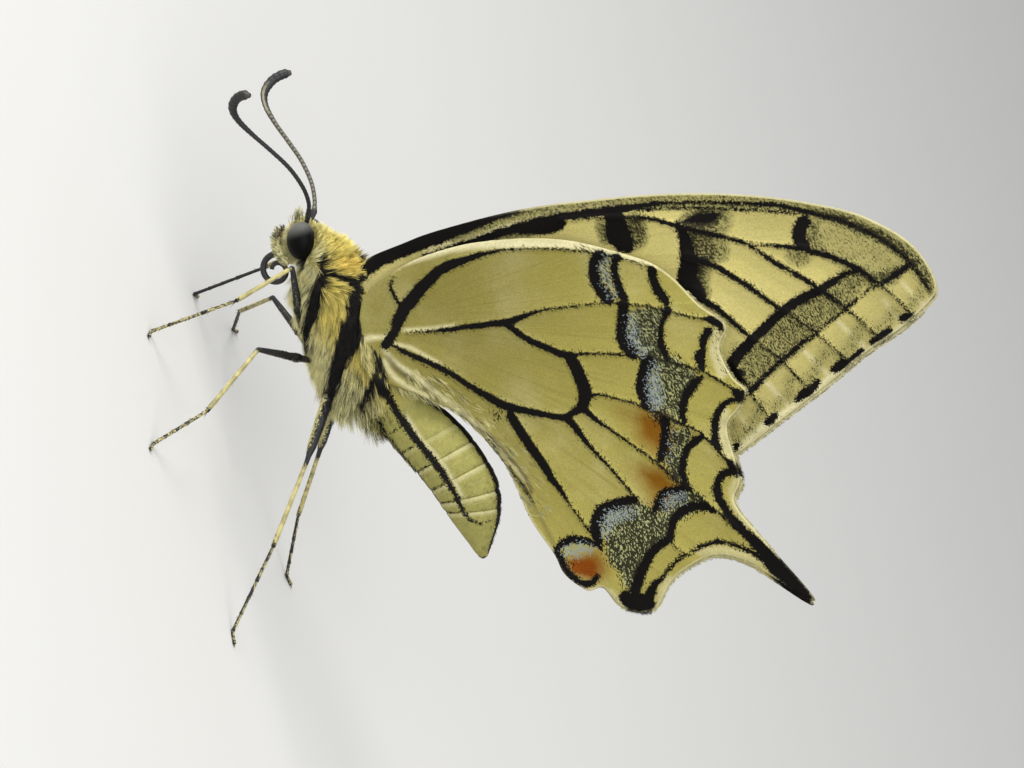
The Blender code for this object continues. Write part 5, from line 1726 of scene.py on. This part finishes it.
def add_light(name, place, aim, size, power):
    """A square soft light that faces a point."""
    lamp = bpy.data.lights.new(name, 'AREA')
    lamp.size = size
    lamp.energy = power
    facing = (aim - place).to_track_quat('-Z', 'Y').to_matrix().to_4x4()
    new_object(name, lamp).matrix_world = Matrix.Translation(place) @ facing


class BUTTERFLY_OT_stage(bpy.types.Operator):
    """Lay the floor, and set the lights and the camera"""
    bl_idname = "butterfly.stage"
    bl_label = "Stage"

    def execute(self, context):
        scene = context.scene
        finish = Finish("floor", 0.85)
        ground = scene.butterfly_colours.floor
        finish.paint(finish.mix(finish.noise(0.02, 3.0) * 0.12, ground, ground * 0.8))
        bm = bmesh.new()
        bmesh.ops.create_grid(bm, x_segments=1, y_segments=1, size=FLOOR_SIZE / 2)
        mesh = bpy.data.meshes.new("floor")
        bm.to_mesh(mesh)
        bm.free()
        mesh.materials.append(finish.material)
        new_object("floor", mesh)
        lens = bpy.data.cameras.new("camera")
        lens.lens = LENS
        lens.sensor_width = SENSOR
        lens.clip_start = NEAREST_SEEN
        rise = math.radians(ELEVATION)
        back = Matrix.Rotation(math.radians(AZIMUTH), 3, 'Z') @ Vector((0, -math.cos(rise), math.sin(rise)))
        level = (-back).to_track_quat('-Z', 'Y').to_matrix()
        turned = (level @ Matrix.Rotation(math.radians(ROLL), 3, 'Z')).to_4x4()
        target = Vector(TARGET)
        camera = new_object("camera", lens)
        camera.matrix_world = Matrix.Translation(target + back * DISTANCE) @ turned
        scene.camera = camera
        upward = turned.to_3x3() @ Vector((0, 1, 0))
        add_light("key", target + upward * 0.40 + back * 0.13 + Vector((0, 0, 0.05)), target, *KEY_LIGHT)
        add_light("fill", target + back * 0.45 + Vector((0.12, 0, 0.30)), target, *FILL_LIGHT)
        world = bpy.data.worlds.new("studio")
        world.use_nodes = True
        sky = world.node_tree.nodes["Background"]
        sky.inputs["Color"].default_value = SKY
        sky.inputs["Strength"].default_value = SKY_STRENGTH
        scene.world = world
        scene.view_settings.view_transform = 'Standard'
        return {'FINISHED'}


# ---- add-on

STEPS = ("stage", "forewings", "hindwings", "body", "eyes", "mouth", "feelers", "legs", "coat", "fringes")


class BUTTERFLY_PT_panel(bpy.types.Panel):
    """Lists the pieces of the butterfly"""
    bl_idname = "BUTTERFLY_PT_panel"
    bl_label = "Butterfly"
    bl_space_type = 'VIEW_3D'
    bl_region_type = 'UI'
    bl_category = "Butterfly"

    def draw(self, context):
        for step in STEPS:
            self.layout.operator("butterfly." + step)
        for group in (context.scene.butterfly_sizes, context.scene.butterfly_colours):
            box = self.layout.box()
            for key in group.__annotations__:
                box.prop(group, key)


CLASSES = (ButterflyColours, ButterflySizes, BUTTERFLY_OT_stage, BUTTERFLY_OT_forewings,
           BUTTERFLY_OT_hindwings, BUTTERFLY_OT_body, BUTTERFLY_OT_eyes, BUTTERFLY_OT_mouth,
           BUTTERFLY_OT_feelers, BUTTERFLY_OT_legs, BUTTERFLY_OT_coat, BUTTERFLY_OT_fringes,
           BUTTERFLY_PT_panel)


def register():
    """Add the classes and the settings."""
    for one in CLASSES:
        bpy.utils.register_class(one)
    bpy.types.Scene.butterfly_colours = PointerProperty(type=ButterflyColours)
    bpy.types.Scene.butterfly_sizes = PointerProperty(type=ButterflySizes)


def unregister():
    """Remove the settings and the classes."""
    del bpy.types.Scene.butterfly_colours
    del bpy.types.Scene.butterfly_sizes
    for one in reversed(CLASSES):
        bpy.utils.unregister_class(one)


def main():
    """Build every piece in order."""
    register()
    for step in STEPS:
        if getattr(bpy.ops.butterfly, step)() != {'FINISHED'}:
            raise RuntimeError("the step " + step + " didn't finish")


if __name__ == "__main__":
    main()
